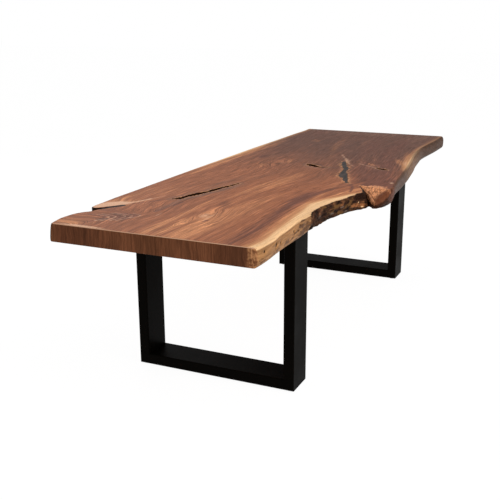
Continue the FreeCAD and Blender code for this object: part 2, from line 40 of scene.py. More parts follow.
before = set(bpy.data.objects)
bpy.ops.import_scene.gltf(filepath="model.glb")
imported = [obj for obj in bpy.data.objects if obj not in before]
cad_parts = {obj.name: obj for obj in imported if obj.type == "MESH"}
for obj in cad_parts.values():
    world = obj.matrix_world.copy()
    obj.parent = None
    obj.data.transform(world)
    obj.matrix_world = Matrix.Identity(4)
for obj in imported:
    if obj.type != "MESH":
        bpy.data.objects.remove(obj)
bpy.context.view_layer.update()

# The slab's planed faces, from the frame
SLAB_LOW, SLAB_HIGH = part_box("live_edge_slab")
LENGTH = SLAB_HIGH.x - SLAB_LOW.x
THICKNESS = SLAB_HIGH.z - SLAB_LOW.z
UNDERSIDE = SLAB_LOW.z
TABLETOP = SLAB_HIGH.z

# Widest place of the planed top, and the planed outline's middle from the frame's middle
PLANED_WIDTH = 1.013
PLANED_MIDDLE = 0.00244

# Outlines of the planed faces, as shares of the slab's length and width, width share 0 at the front: length
# share and width share on the top face, then the underside's length share, where it differs, and width share
FRONT_NEAR_SHARES = [
    (0, 0.164, 0.161), (0.022, 0.152, 0.159), (0.047, 0.151, 0.161), (0.073, 0.158, 0.165),
    (0.105, 0.162, 0.167), (0.145, 0.169, 0.166), (0.196, 0.164, 0.17), (0.236, 0.163, 0.165),
    (0.269, 0.146, 0.156), (0.302, 0.123, 0.137), (0.335, 0.107, 0.106), (0.349, 0.091, 0.347, 0.088),
    (0.365, 0.099, 0.357, 0.079), (0.382, 0.119, 0.363, 0.076), (0.398, 0.14, 0.369, 0.073),
]
FRONT_FAR_SHARES = [
    (0.398, 0.14, 0.369, 0.073), (0.381, 0.113, 0.365, 0.063), (0.365, 0.086, 0.359, 0.054),
    (0.354, 0.057, 0.357, 0.041), (0.361, 0.023, 0.362, 0.026), (0.379, 0.002, 0.011), (0.404, 0, 0.008),
    (0.436, 0.011, 0.024), (0.473, 0.023, 0.036), (0.516, 0.037, 0.042), (0.567, 0.053, 0.052),
    (0.618, 0.072, 0.067), (0.676, 0.095, 0.087), (0.727, 0.117, 0.108), (0.775, 0.129, 0.123),
    (0.822, 0.133, 0.135), (0.873, 0.127, 0.13), (0.931, 0.119, 0.121), (0.975, 0.118, 0.118),
    (1, 0.116, 0.117),
]
REAR_FAR_SHARES = [
    (1, 0.988, 0.983), (0.964, 0.986, 0.981), (0.891, 0.992, 0.987), (0.82, 0.993, 0.988),
    (0.665, 1, 0.995), (0.527, 1, 0.996), (0.408, 1, 0.996), (0.301, 0.998, 0.994), (0.233, 0.996, 0.992),
    (0.171, 0.996, 0.991), (0.135, 0.992, 0.988), (0.112, 0.991, 0.984), (0.101, 0.985, 0.102, 0.976),
    (0.098, 0.962, 0.101, 0.954), (0.107, 0.932, 0.109, 0.93), (0.126, 0.891, 0.125, 0.888),
]
REAR_NEAR_SHARES = [
    (0.126, 0.891, 0.125, 0.888), (0.111, 0.917, 0.907), (0.095, 0.937, 0.927), (0.079, 0.948, 0.94),
    (0.069, 0.969, 0.962), (0.054, 0.984, 0.977), (0.031, 0.988, 0.988), (0.015, 0.981, 0.986),
    (0, 0.971, 0.98),
]

# Cracks, as length share, width share and share of the crack's widest opening
LONG_CRACK_SHARES = [
    (0.192, 0.768, 0.2), (0.202, 0.745, 0.9), (0.216, 0.737, 0.6), (0.234, 0.722, 1), (0.247, 0.712, 0.9),
    (0.262, 0.695, 0.5), (0.275, 0.689, 0.7), (0.297, 0.68, 0.6), (0.312, 0.666, 0.5), (0.34, 0.65, 0.2),
]
HOOK_CRACK_SHARES = [
    (0.55, 0.542, 0.2), (0.546, 0.52, 1.4), (0.538, 0.495, 1.3), (0.531, 0.468, 0.8), (0.53, 0.44, 0.5),
    (0.533, 0.41, 0.2),
]
EDGE_CRACK_SHARES = [
    (0.563, 0.193, 0.2), (0.557, 0.171, 0.8), (0.553, 0.149, 1), (0.548, 0.124, 0.2),
]

# Outline of the filled void, as shares of the slab's length and width
VOID_SHARES = [
    (0.597, 0.403), (0.608, 0.389), (0.579, 0.355), (0.537, 0.311), (0.504, 0.289), (0.47, 0.255),
    (0.409, 0.201), (0.418, 0.226), (0.449, 0.265), (0.463, 0.299), (0.495, 0.316), (0.515, 0.319),
    (0.556, 0.361),
]

# The knot's broken face: it starts level with the top along the line between the first two corners
KNOT_FACE_SHARES = [
    (0.402, 0.146), (0.385, -0.028), (0.342, -0.028), (0.349, 0.064), (0.364, 0.092), (0.381, 0.1155),
    (0.398, 0.14),
]

# Sapwood on the top face: place along the table and width of the pale band, front and rear
FRONT_SAPWOOD = [
    (-1.375, 0.026), (-1.2, 0.024), (-1, 0.026), (-0.85, 0.042), (-0.7, 0.06), (-0.58, 0.048),
    (-0.48, 0.018), (-0.45, 0.008), (-0.42, 0.002), (-0.38, -0.02), (-0.28, -0.03), (0.08, -0.03),
    (0.18, 0), (0.28, 0.013), (0.38, 0.014), (0.5, 0.008), (0.65, 0.004), (0.9, 0.002), (1.375, 0.003),
]
REAR_SAPWOOD = [
    (-1.375, -0.04), (-0.9, -0.035), (-0.5, -0.022), (-0.3, -0.004), (0, 0.014), (0.4, 0.02), (0.8, 0.018),
    (1.375, 0.01),
]

# Figure of the tabletop, by tone: place along and across, half length, half width, turn in degrees, strength
FIGURE = {
    "amber": [
        (-1.29, 0.095, 0.16, 0.022, 4, 0.9), (-1.27, 0.045, 0.14, 0.014, 2, 0.7),
        (-1.3, -0.045, 0.17, 0.045, -2, 1), (-1.045, 0.012, 0.09, 0.034, 4, 0.35),
        (-1.05, -0.03, 0.3, 0.09, 0, 0.6), (-1.17, 0.045, 0.05, 0.016, 12, 0.9),
        (-0.8, -0.1, 0.35, 0.05, 0, 0.35), (-0.95, 0.105, 0.3, 0.018, 2, 0.45),
        (-0.33, -0.005, 0.26, 0.045, -4, 0.75), (-0.55, 0.05, 0.2, 0.018, -2, 0.5),
        (-0.72, 0.37, 0.16, 0.09, -14, 0.3), (-1.33, 0.44, 0.05, 0.08, 0, 1),
        (-0.98, 0.47, 0.2, 0.022, -4, 0.9), (-0.8, -0.275, 0.5, 0.014, 1, 0.8),
        (-0.98, 0.43, 0.07, 0.05, -20, 0.9), (-0.37, -0.375, 0.1, 0.02, -22, 1),
        (0.37, -0.375, 0.09, 0.018, 24, 1.3), (0.18, 0.157, 0.06, 0.016, 15, 0.6),
        (0.03, 0.25, 0.045, 0.02, 10, 0.6), (0.6, 0.06, 0.25, 0.025, 14, 0.5),
        (1, 0.13, 0.25, 0.02, 8, 0.4), (0.236, -0.275, 0.06, 0.018, 45, 1.2),
        (0.9, 0.27, 0.06, 0.022, 14, 0.6), (-0.02, 0.465, 0.4, 0.022, 0, 0.7),
        (0.6, 0.45, 0.3, 0.026, -2, 0.8), (0.52, -0.375, 0.2, 0.022, 10, 0.8),
    ],
    "cream": [
        # The first cream spot, along the near end's top edge, is a painted highlight on the arris
        (-1.366, 0.36, 0.012, 0.12, 0, 0.9), (-0.165, -0.478, 0.026, 0.013, 10, 0.7),
        (0.33, -0.12, 0.08, 0.02, 12, 0.35), (-1.068, 0.48, 0.065, 0.024, -30, 1.6),
        (-1.012, 0.44, 0.055, 0.034, -45, 1.5), (-1.048, 0.014, 0.05, 0.02, 6, 0.6),
        (0.34, -0.414, 0.1, 0.012, 10, 0.55), (0.236, -0.275, 0.045, 0.009, 45, 0.4),
        (-1.1, 0.185, 0.05, 0.004, 4, 0.6), (-1.31, 0.34, 0.06, 0.08, 0, 0.3),
        (0.11, 0.175, 0.045, 0.012, 8, 0.4),
    ],
    "dusk": [
        (-1.04, -0.012, 0.05, 0.006, 6, 0.8), (-0.19, -0.48, 0.1, 0.032, 8, 1.2),
        (-1.15, 0.262, 0.035, 0.022, 0, 0.7), (-1.2, -0.245, 0.3, 0.034, 0, 0.8),
        (-0.8, -0.225, 0.25, 0.034, 3, 0.75), (-0.6, -0.22, 0.16, 0.036, 0, 0.9),
        (-0.42, -0.265, 0.18, 0.026, -12, 0.8), (-1.19, 0.31, 0.09, 0.07, 0, 0.75),
        (-1.13, 0.4, 0.06, 0.06, 0, 0.5), (-0.84, 0.03, 0.09, 0.03, 18, 0.6),
        (0.22, -0.36, 0.3, 0.05, 14, 0.9), (0, -0.31, 0.26, 0.12, 20, 0.9),
        (-0.23, -0.41, 0.14, 0.05, 15, 1.1), (0.26, 0.345, 0.05, 0.025, 0, 1.2),
        (0.8, -0.1, 0.5, 0.07, 10, 0.7), (0.9, -0.24, 0.5, 0.06, 4, 0.8), (1.25, 0.37, 0.15, 0.05, 0, 0.6),
        (0.5, 0.36, 0.3, 0.03, -2, 0.5), (0.14, -0.345, 0.02, 0.018, 0, 1),
    ],
    "grey": [
        (-0.97, 0.228, 0.11, 0.014, 0, 0.9), (-0.76, 0.205, 0.12, 0.02, -14, 0.95),
        (-0.56, 0.15, 0.14, 0.02, -14, 0.95), (-0.45, 0.225, 0.22, 0.04, -12, 0.6),
        (-0.25, 0.12, 0.22, 0.03, -10, 0.5), (1.3, 0.05, 0.1, 0.4, 0, 0.8),
        (1.15, -0.28, 0.2, 0.06, 0, 0.6),
    ],
}

# Lens-shaped figure that the growth lines flow round: place along and across, half length, half width
EYES = [
    (-1.048, 0.014, 0.11, 0.052), (-1.18, 0.04, 0.045, 0.024), (-1.115, -0.015, 0.03, 0.018),
    (-1.11, -0.06, 0.05, 0.02), (0.11, 0.19, 0.07, 0.03), (0.22, -0.3, 0.08, 0.035),
]

# Growth lines turn towards the rear edge beyond this place, where a branch once left the trunk
BRANCH_TURN = (-1.125, 0.228)
BRANCH_SOFTNESS = 0.03

# Single lines in the figure: tone, half width, strength and places along and across
FIGURE_LINES = [
    ("dusk", 0.006, 1.3, [(-0.985, 0.372), (-0.93, 0.335), (-0.87, 0.295), (-0.8, 0.262)]),
    ("cream", 0.007, 0.9, [(-0.998, 0.412), (-0.942, 0.377), (-0.882, 0.356)]),
    ("cream", 0.006, 0.5, [(-0.882, 0.356), (-0.807, 0.328)]),
    ("dusk", 0.01, 1.2, [(-1.06, 0.222), (-1.016, 0.215), (-0.949, 0.213), (-0.878, 0.207)]),
    ("dusk", 0.005, 1.3, [(0.12, -0.045), (0.15, -0.025), (0.175, -0.012)]),
    ("dusk", 0.006, 1.3, [(0.15, -0.345), (0.175, -0.305), (0.205, -0.27), (0.26, -0.22)]),
    ("cream", 0.008, 0.55, [(0.135, -0.36), (0.165, -0.315), (0.19, -0.28), (0.25, -0.2)]),
    ("cream", 0.01, 0.45, [(0.16, -0.2), (0.26, -0.13), (0.36, -0.09), (0.48, -0.03)]),
    ("amber", 0.008, 0.8, [(-0.75, -0.3), (-0.6, -0.298), (-0.45, -0.335)]),
    ("dusk", 0.007, 0.9, [(0.08, -0.07), (0.095, -0.11), (0.11, -0.15)]),
    ("dusk", 0.007, 1.2, [(-0.42, -0.365), (-0.33, -0.345), (-0.27, -0.32)]),
    ("cream", 0.006, 0.5, [(-1.12, -0.018), (-1.06, -0.012), (-1, -0.016)]),
    ("dusk", 0.008, 1.4, [(-1.125, -0.022), (-1.105, -0.026)]),
]

# Nested turned lines by the branch: how many, the outermost turn's place, and the way to the next turn
NESTED_LINES = 10
NESTED_START = (-1.138, 0.236)
NESTED_STEP = (-0.0085, 0.0125)

# Seams in the top face, where a split or a crack closes, darkened with painted shade: half width, strength
# and places
SEAMS = [
    (0.0145, 1, [(-1.112, 0.446), (-1.072, 0.426), (-1.026, 0.395)]),
    (0.007, 0.9, [(0.15, 0.01), (0.142, -0.012), (0.136, -0.032)]),
    (0.006, 0.75, [(0.086, -0.042), (0.088, -0.07), (0.086, -0.1), (0.085, -0.136)]),
]

# Curly figure: place along and across, half length, half width, strength
CURLS = [
    (-1.19, 0.32, 0.12, 0.1, 0.55), (-1.02, 0.27, 0.14, 0.06, 0.35), (-1.18, 0.04, 0.05, 0.04, 0.35),
    (-1.18, -0.06, 0.08, 0.03, 0.35), (-0.98, 0.02, 0.12, 0.05, 0.15), (0.05, 0.22, 0.2, 0.09, 0.5),
    (0.3, -0.22, 0.18, 0.1, 0.4),
]

# Marks on the front edge, by tone: place along, height, half length, half height, strength
EDGE_FIGURE = {
    "grey": [
        (-0.84, 0.7, 0.03, 0.009, 0.8), (-0.76, 0.712, 0.03, 0.008, 1), (-0.72, 0.692, 0.026, 0.009, 0.9),
        (-0.64, 0.704, 0.03, 0.009, 1), (-0.57, 0.716, 0.02, 0.007, 0.9), (-0.53, 0.694, 0.022, 0.009, 1),
    ],
    "amber": [
        (-0.475, 0.706, 0.034, 0.013, 0.9), (-0.41, 0.698, 0.034, 0.012, 0.9),
        (-0.58, 0.73, 0.024, 0.008, 0.6), (-0.64, 0.726, 0.024, 0.009, 0.6),
    ],
    "cream": [
        (-0.445, 0.714, 0.008, 0.004, 1), (-0.43, 0.693, 0.01, 0.004, 1), (-0.49, 0.7, 0.008, 0.003, 0.8),
    ],
    "dusk": [
        (-0.955, 0.727, 0.028, 0.008, 1), (-0.935, 0.739, 0.03, 0.004, 0.8),
        (-1.015, 0.714, 0.032, 0.006, 0.9), (-1.1, 0.724, 0.03, 0.004, 0.6),
        (-0.9, 0.712, 0.045, 0.018, 0.7), (-0.98, 0.69, 0.08, 0.008, 0.6), (-1.1, 0.7, 0.05, 0.008, 0.7),
        (-1.21, 0.698, 0.05, 0.006, 0.6), (-1.34, 0.698, 0.025, 0.012, 0.7),
        (-0.94, 0.702, 0.04, 0.01, 0.8),
    ],
}

# Small worm holes in the front edge, dented and darkened with painted shade: place along, height, radius
WORM_HOLES = [
    (-1.215, 0.72, 0.01), (-1.17, 0.716, 0.006), (-1.325, 0.726, 0.006), (-1.255, 0.735, 0.003),
    (-1.225, 0.708, 0.005), (-1.03, 0.722, 0.006), (-0.99, 0.716, 0.004), (-0.965, 0.731, 0.0035),
]

# How pale the natural edges are: place along and share
PALE_FRONT = [(-1, 1), (-0.8, 0.75), (-0.5, 0.6), (-0.3, 0), (0.1, 0), (0.35, 0.35), (0.6, 0.3), (0.9, 0)]
PALE_REAR = [(-0.9, 0), (-0.4, 0.2), (0, 0.6)]

# Rings of the slab's side: both rounded edges turn through these angles, with so many rings between them
ARRIS_ANGLES = np.radians([0, 30, 60, 90])
FLANK_RINGS = 16
SIDE_RINGS = 2 * len(ARRIS_ANGLES) + FLANK_RINGS

# Grid of the top face: start and end along the table and gap, then a closer corner beside the rear split
TOP_GRID = [(-1.37, -0.35, 0.0065), (-0.35, 0.65, 0.008), (0.65, 1.37, 0.014)]
SPLIT_CORNER = (-0.98, 0.18)
SPLIT_GAP = 0.005
KNOT_GAP = 0.004

# Height of the ripples on a natural edge without bark; all its lumps fade out this near fissure and split
PLAIN_RELIEF = 0.0004
FREE_REACH = 0.06

# Finishes of the slab, in the order of its materials
PLANED, SAWN, TORN = 0, 1, 2

# The two hoops
SIDES = ("left", "right")

# Radii of the round pieces and depth of the inserts' flange, from the frame
BARREL_RADIUS = 0.007
FLANGE_RADIUS = 0.0095
FLANGE_DEPTH = 0.0016
WASHER_RADIUS = 0.012
GLIDE_RADIUS = 0.016
BOLT_ROWS = 4
GLIDE_ROWS = 2

# Room between the filling and the void's wall
RESIN_GAP = 0.00015

# Points within this depth below the tabletop count as lying on it
SKIN_DEPTH = 0.003

# The photograph's viewpoint
CAMERA_PLACE = (-3.6842558, -1.3851243, 1.4871415)
CAMERA_YAW = math.radians(24.6292)
CAMERA_PITCH = math.radians(-16.3479)
CAMERA_ROLL = math.radians(-0.2467)
CAMERA_LENS = 57.962
SENSOR_WIDTH = 36.0
CAMERA_REACH = 100.0


def linear(red, green, blue):
    """A colour given as it looks on screen, 0 to 255, as the shader wants it."""
    shares = [value / 255 for value in (red, green, blue)]
    return tuple(s / 12.92 if s <= 0.04045 else ((s + 0.055) / 1.055) ** 2.4 for s in shares)


def length_property(name, description, default):
    return bpy.props.FloatProperty(
        name=name, description=description, default=default, unit="LENGTH", precision=4
    )


def colour_property(name, description, red, green, blue):
    return bpy.props.FloatVectorProperty(
        name=name, description=description, default=linear(red, green, blue),
        subtype="COLOR", min=0, max=1,
    )


class PlankSlabSizes(bpy.types.PropertyGroup):
    """Sizes of the slab's edges, cracks and broken knot."""

    front_bulge: length_property("Front bulge", "How far the front edge swells past the planed faces", 0.012)
    rear_bulge: length_property("Rear bulge", "How far the rear edge swells past the planed faces", 0.005)
    arris: length_property("Arris", "Rounding of the sawn and planed edges", 0.003)
    front_corner: length_property("Front corners", "Rounding of the front corners, seen from above", 0.008)
    rear_corner: length_property("Rear corners", "Rounding of the rear corners, seen from above", 0.003)
    knot_drop: length_property("Knot drop", "How far the broken face falls below the top", 0.052)
    long_crack_width: length_property("Long crack width", "Widest opening of the long crack", 0.036)
    long_crack_depth: length_property("Long crack depth", "Depth of the long crack", 0.034)
    short_crack_width: length_property("Short crack width", "Widest opening of the short cracks", 0.026)
    short_crack_depth: length_property("Short crack depth", "Depth of the short cracks", 0.016)
    resin_depth: length_property("Filled void depth", "Depth of the filled void", 0.028)
    bark_relief: length_property("Bark relief", "Height of the lumps in the bark", 0.0045)
    knot_relief: length_property("Knot relief", "Height of the lumps on the knot", 0.0035)


class PlankColours(bpy.types.PropertyGroup):
    """Colours of the wood, the filling and the metal."""

    heartwood: colour_property("Heartwood", "Middle tone of the walnut", 155, 93, 60)
    amber: colour_property("Amber", "Orange figure in the heartwood", 197, 130, 86)
    dusk: colour_property("Dusk", "Purple-brown streaks", 108, 63, 48)
    grey_heart: colour_property("Grey heart", "Grey-brown stain beside the cracks", 116, 82, 66)
    far_heart: colour_property("Far heart", "Darker heartwood of the far half", 102, 65, 50)
    sapwood: colour_property("Sapwood", "Pale band inside the natural edge", 240, 194, 144)
    cream: colour_property("Cream", "Pale pinkish patches in the heartwood", 230, 182, 148)
    inner_sapwood: colour_property("Inner sapwood", "Tan line where the sapwood begins", 206, 146, 98)
    edge_sapwood: colour_property("Edge sapwood", "Tan of the natural edge itself", 170, 122, 78)
    edge_heart: colour_property("Edge heartwood", "Grey-brown of the edge past the knot", 78, 52, 36)
    bark: colour_property("Bark", "Dark brown bark", 74, 48, 33)
    bark_gold: colour_property("Bark gold", "Golden lumps in the bark", 106, 74, 42)
    # Painted shade for the bark's hollows, also laid over the knot's lower right
    bark_painted_shade: colour_property("Bark shade", "Hollows in the bark", 30, 19, 13)
    bark_grey: colour_property("Bark grey", "Grey scales on the bark", 128, 112, 100)
    knot_face: colour_property("Knot face", "Freshly broken face of the knot", 220, 149, 104)
    glow: colour_property("Glow", "Glossy orange patch beside the knot", 160, 102, 62)
    knot_body: colour_property("Knot body", "Red-brown flank of the knot", 98, 54, 34)
    end_grain: colour_property("End grain", "Sawn end", 101, 60, 39)
    # Near black, as painted shade: inside the cracks, and laid into the fissure, the split, the seams and the
    # worm holes
    crack: colour_property("Crack", "Inside the cracks", 36, 20, 12)
    filling: colour_property("Filling", "Dark grey filling of the void", 46, 35, 30)
    powder_coat: colour_property("Powder coat", "Black coating of the legs", 9, 7, 5)
    zinc: colour_property("Zinc", "Plated bolts and washers", 176, 178, 180)
    brass: colour_property("Brass", "Threaded inserts", 184, 150, 84)
    glide: colour_property("Glide", "Floor glides", 36, 36, 37)


class PlankStageSettings(bpy.types.PropertyGroup):
    """Floor and lights."""

    floor: colour_property("Floor", "Plain pale floor", 236, 236, 236)
    sky: bpy.props.FloatProperty(name="Soft light", description="Strength of the even light", default=0.62)
    key: bpy.props.FloatProperty(
        name="Main lamp", description="Power of the large lamp", default=95, unit="POWER"
    )
    fill: bpy.props.FloatProperty(
        name="Second lamp", description="Power of the second lamp", default=38, unit="POWER"
    )


# Colour sockets of the mix node
MIX_FIRST, MIX_SECOND, MIX_RESULT = 6, 7, 2


class Nodes:
    """Adds nodes to one tree and joins them up."""

    def __init__(self, tree, kind):
        self.nodes = tree.nodes
        self.links = tree.links
        self.nodes.clear()
        self.surface = self.nodes.new("ShaderNodeOutput" + kind).inputs["Surface"]

    def put(self, socket, value):
        """Set a socket to a number or colour, or join it to another node's output."""
        if isinstance(value, bpy.types.NodeSocket):
            self.links.new(value, socket)
        elif hasattr(value, "__len__") and len(socket.default_value) == len(value) + 1:
            socket.default_value = (*value, 1.0)
        else:
            socket.default_value = value

    def node(self, kind, sockets, output=0, **settings):
        """Add a node, fill its sockets by name or number, and give back one of its outputs."""
        node = self.nodes.new("ShaderNode" + kind)
        for name, setting in settings.items():
            setattr(node, name, setting)
        for name, value in sockets.items():
            self.put(node.inputs[name], value)
        return node.outputs[output]

    def math(self, operation, *values):
        return self.node("Math", dict(enumerate(values)), operation=operation)

    def times(self, first, second):
        return self.math("MULTIPLY", first, second)

    def whiten(self, shader, kind, strength, share, *rays):
        """The tree's surface: a shader, with plain white light over it for these kinds of ray."""
        path = self.nodes.new("ShaderNodeLightPath")
        seen = path.outputs[rays[0]]
        for ray in rays[1:]:
            seen = self.math("MAXIMUM", seen, path.outputs[ray])
        white = self.node(kind, {"Color": (1, 1, 1), "Strength": strength})
        self.put(self.surface, self.node("MixShader", {0: self.times(seen, share), 1: shader, 2: white}))


class Finish(Nodes):
    """One material, and short ways to make its nodes."""

    def __init__(self, name, roughness=0.5, specular=0.5, metallic=0.0):
        self.material = bpy.data.materials.new(name)
        self.material.use_nodes = True
        super().__init__(self.material.node_tree, "Material")
        self.shader = self.nodes.new("ShaderNodeBsdfPrincipled")
        self.put(self.surface, self.shader.outputs["BSDF"])
        self.roughness(roughness)
        self.put(self.shader.inputs["Specular IOR Level"], specular)
        self.put(self.shader.inputs["Metallic"], metallic)

    def add(self, *values):
        total = values[0]
        for value in values[1:]:
            total = self.math("ADD", total, value)
        return total

    def about(self, value, reach):
        """Noise of 0 to 1 turned into a swing about zero."""
        return self.times(self.math("SUBTRACT", value, 0.5), reach)

    def attribute(self, name, output="Fac"):
        return self.node("Attribute", {}, output, attribute_name=name)

    def mark(self, name, noise, reach, strength=1.0):
        """A mark written on the mesh, its border broken up by noise."""
        return self.add(self.times(self.attribute(name), strength), self.about(noise, reach))

    def place(self):
        """The point's own place in the frame, in metres."""
        return self.node("TexCoord", {}, "Object")

    def parts(self, vector):
        node = self.nodes.new("ShaderNodeSeparateXYZ")
        self.put(node.inputs[0], vector)
        return node.outputs[:3]

    def vector(self, x, y, z):
        return self.node("CombineXYZ", {0: x, 1: y, 2: z})

    def noise(self, vector, stretch, detail=2.0, roughness=0.5):
        """Cloudy noise, 0 to 1; stretch gives how many cells a metre holds each way."""
        stretched = self.node("VectorMath", {0: vector, 1: stretch}, operation="MULTIPLY")
        return self.node(
            "TexNoise", {"Vector": stretched, "Scale": 1.0, "Detail": detail, "Roughness": roughness}
        )

    def step(self, value, low, high, to_low=0.0, to_high=1.0):
        """A soft step from to_low to to_high while value goes from low to high."""
        sockets = {"Value": value, "From Min": low, "From Max": high, "To Min": to_low, "To Max": to_high}
        return self.node("MapRange", sockets, interpolation_type="SMOOTHSTEP")

    def mix(self, factor, first, second, blend="MIX"):
        sockets = {0: factor, MIX_FIRST: first, MIX_SECOND: second}
        return self.node("Mix", sockets, MIX_RESULT, data_type="RGBA", blend_type=blend)

    def over(self, base, colour, mask, low, high, most=1.0):
        """A colour laid over a base where a mask goes from low to high, and at most so strongly."""
        return self.mix(self.step(mask, low, high, 0, most), base, colour)

    def shade(self, colour, value, *ramp):
        """A colour times a number about 1, or times the soft step that a ramp makes of it."""
        value = self.step(value, *ramp) if ramp else value
        return self.mix(1.0, colour, self.vector(value, value, value), "MULTIPLY")

    def colour(self, value):
        self.put(self.shader.inputs["Base Color"], value)

    def roughness(self, value):
        self.put(self.shader.inputs["Roughness"], value)

    def bump(self, height, distance):
        """Raise the surface by height times distance in metres, for shading only."""
        raised = self.node("Bump", {"Strength": 1.0, "Distance": distance, "Height": height})
        self.put(self.shader.inputs["Normal"], raised)


def walnut(colours):
    """Planed heartwood with its figure, sapwood, bark and broken knot."""
    f = Finish("walnut", specular=0.04)
    place = f.place()
    x, y, z = f.parts(place)
    along, across, deep = f.parts(f.attribute("grain", "Vector"))
    bend = f.about(f.noise(place, (1.6, 4.5, 4.5), 3), 0.05)
    curl = f.about(f.noise(place, (16, 22, 22), 3, 0.6), f.times(f.attribute("curl"), 0.13))
    across = f.add(across, bend, curl)
    grain = f.vector(along, across, deep)

    broad = f.noise(grain, (0.8, 9, 9), 3)
    band = f.noise(grain, (1.6, 34, 34), 3, 0.6)
    streak = f.noise(grain, (2.8, 105, 80), 4, 0.65)
    line = f.noise(grain, (9, 260, 160), 3, 0.6)
    pore = f.noise(grain, (45, 900, 900), 1)

    heart = wood_figure(f, colours, x, y, broad, band, streak)
    heart = f.shade(heart, band, 0.34, 0.66, 0.91, 1.07)
    heart = f.shade(heart, streak, 0.36, 0.64, 0.83, 1.14)
    heart = f.shade(heart, line, 0.34, 0.66, 0.66, 1.28)
    crisp = f.times(f.math("SUBTRACT", f.add(line, streak), 1), f.times(f.attribute("curl"), 2.6))
    heart = f.shade(heart, f.add(1, crisp))

    sap = f.add(f.mark("sapwood", band, 0.026), f.about(streak, 0.03))
    inner = f.step(sap, -0.03, 0.004, 0, 0.85)
    pale = f.step(sap, -0.002, 0.016)
    sapwood = f.shade(colours.sapwood, streak, 0.34, 0.66, 0.84, 1.06)
    fade = f.step(x, 0.45, 0.75, 1, 0.45)
    wood = f.mix(f.times(inner, fade), heart, colours.inner_sapwood)
    wood = f.mix(f.times(pale, fade), wood, sapwood)
    wood = f.over(wood, colours.cream, f.mark("cream", streak, 0.7), 0.2, 0.9, 0.85)

    scale = f.noise(place, (20, 36, 46), 5, 0.72)
    chips = f.noise(place, (60, 60, 60), 3, 0.7)
    wood = natural_edge(f, colours, wood, sapwood, place, z)
    blotch = f.noise(place, (18, 40, 60), 4, 0.65)
    rough = f.step(f.mark("bark", blotch, 1.3), 0.42, 0.56)
    lumps = f.noise(place, (17, 30, 34), 3, 0.6)
    wood = f.mix(rough, wood, bark(f, colours, scale, lumps))
    wood = broken_knot(f, colours, wood, place, z, chips)

    wood = f.over(wood, colours.grey_heart, f.mark("halo", streak, 0.9), 0.3, 1, 0.5)
    # Painted highlight: a pale rim along the lips of the cracks and the void
    rim = f.times(f.attribute("rim"), f.step(chips, 0.45, 0.56, 0, 0.8))
    wood = f.mix(rim, wood, colours.inner_sapwood)
    # Painted shade, in the cracks' colour, over the fissure, the split, a recess, the seams and the worm
    # holes
    wood = f.over(wood, colours.crack, f.mark("painted_shade", chips, 0.6), 0.35, 0.65)
    pores = f.step(pore, 0.4, 0.32)
    f.colour(f.mix(f.times(pores, 0.4), wood, colours.dusk))
    f.roughness(f.add(f.step(line, 0.3, 0.7, 0.5, 0.42), f.times(rough, 0.25)))
    relief = f.add(f.times(line, 0.12), f.times(pores, -0.25), f.times(f.times(scale, rough), 6))
    relief = f.add(relief, f.times(f.times(chips, f.attribute("facet")), 4))
    f.bump(relief, 0.0004)
    return f.material


def wood_figure(f, colours, x, y, broad, band, streak):
    """Heartwood tones: amber, purple-brown and grey, broken up along the grain."""
    far = f.step(f.add(x, f.times(y, -0.35), f.about(broad, 0.8)), -0.5, 0.7)
    heart = f.mix(far, colours.heartwood, colours.far_heart)
    tone = f.add(f.times(band, 0.55), f.times(streak, 0.45))
    amber = f.times(f.step(f.mark("amber", tone, 1.9, 0.9), 0.05, 1), f.step(far, 0, 1, 1, 0.5))
    heart = f.mix(amber, heart, colours.amber)
    heart = f.over(heart, colours.dusk, f.mark("dusk", tone, -2, 0.9), 0.1, 1, 0.85)
    return f.over(heart, colours.grey_heart, f.mark("grey", streak, 2.2), 0.2, 1, 0.7)


def natural_edge(f, colours, wood, sapwood, place, z):
    """The natural edge: pale along its top, tan and stained brown below, grey-brown past the knot."""
    side = f.attribute("side")
    drawn = f.noise(place, (9, 30, 120), 4, 0.65)
    stain = f.noise(place, (26, 50, 90), 4, 0.7)
    height = f.add(z, f.about(drawn, 0.03))
    tan = f.shade(colours.edge_sapwood, drawn, 0.34, 0.66, 0.68, 1.2)
    tan = f.over(tan, colours.bark, f.add(height, f.times(stain, 0.03)), 0.716, 0.69, 0.45)
    rim = f.add(z, f.about(drawn, 0.008))
    tan = f.over(tan, colours.bark, rim, 0.734, 0.74, 0.28)
    tan = f.over(tan, sapwood, rim, 0.739, 0.745)
    grey = f.shade(colours.edge_heart, stain, 0.32, 0.68, 0.72, 1.28)
    flank = f.mix(f.attribute("pale_edge"), grey, tan)
    flank = f.over(flank, colours.bark, f.mark("dusk", stain, 2.8, side), 0.3, 0.7, 0.8)
    return f.mix(side, wood, flank)


def bark(f, colours, scale, lumps):
    """Dark scaly bark with painted shade in its hollows, golden lumps, grey scales and a glossy orange patch
    beside the knot.
    """
    side = f.attribute("side")
    # Painted shade: where the scale noise is low the bark takes its shade colour and is darkened further;
    # where it is high it is lightened
    body = f.over(colours.bark_painted_shade, colours.bark, scale, 0.38, 0.62)
    body = f.shade(body, scale, 0.5, 0.72, 1, 1.7)
    body = f.over(body, colours.bark_gold, lumps, 0.53, 0.66)
    body = f.shade(body, scale, 0.3, 0.5, 0.5, 1)
    body = f.over(body, colours.bark_grey, f.mark("grey", scale, 3.2, side), 0.5, 1.2, 0.8)
    body = f.over(body, colours.glow, f.mark("amber", scale, 4, side), 0.35, 1.1)
    return f.over(body, colours.sapwood, f.mark("cream", scale, 1.2, side), 0.55, 0.8)


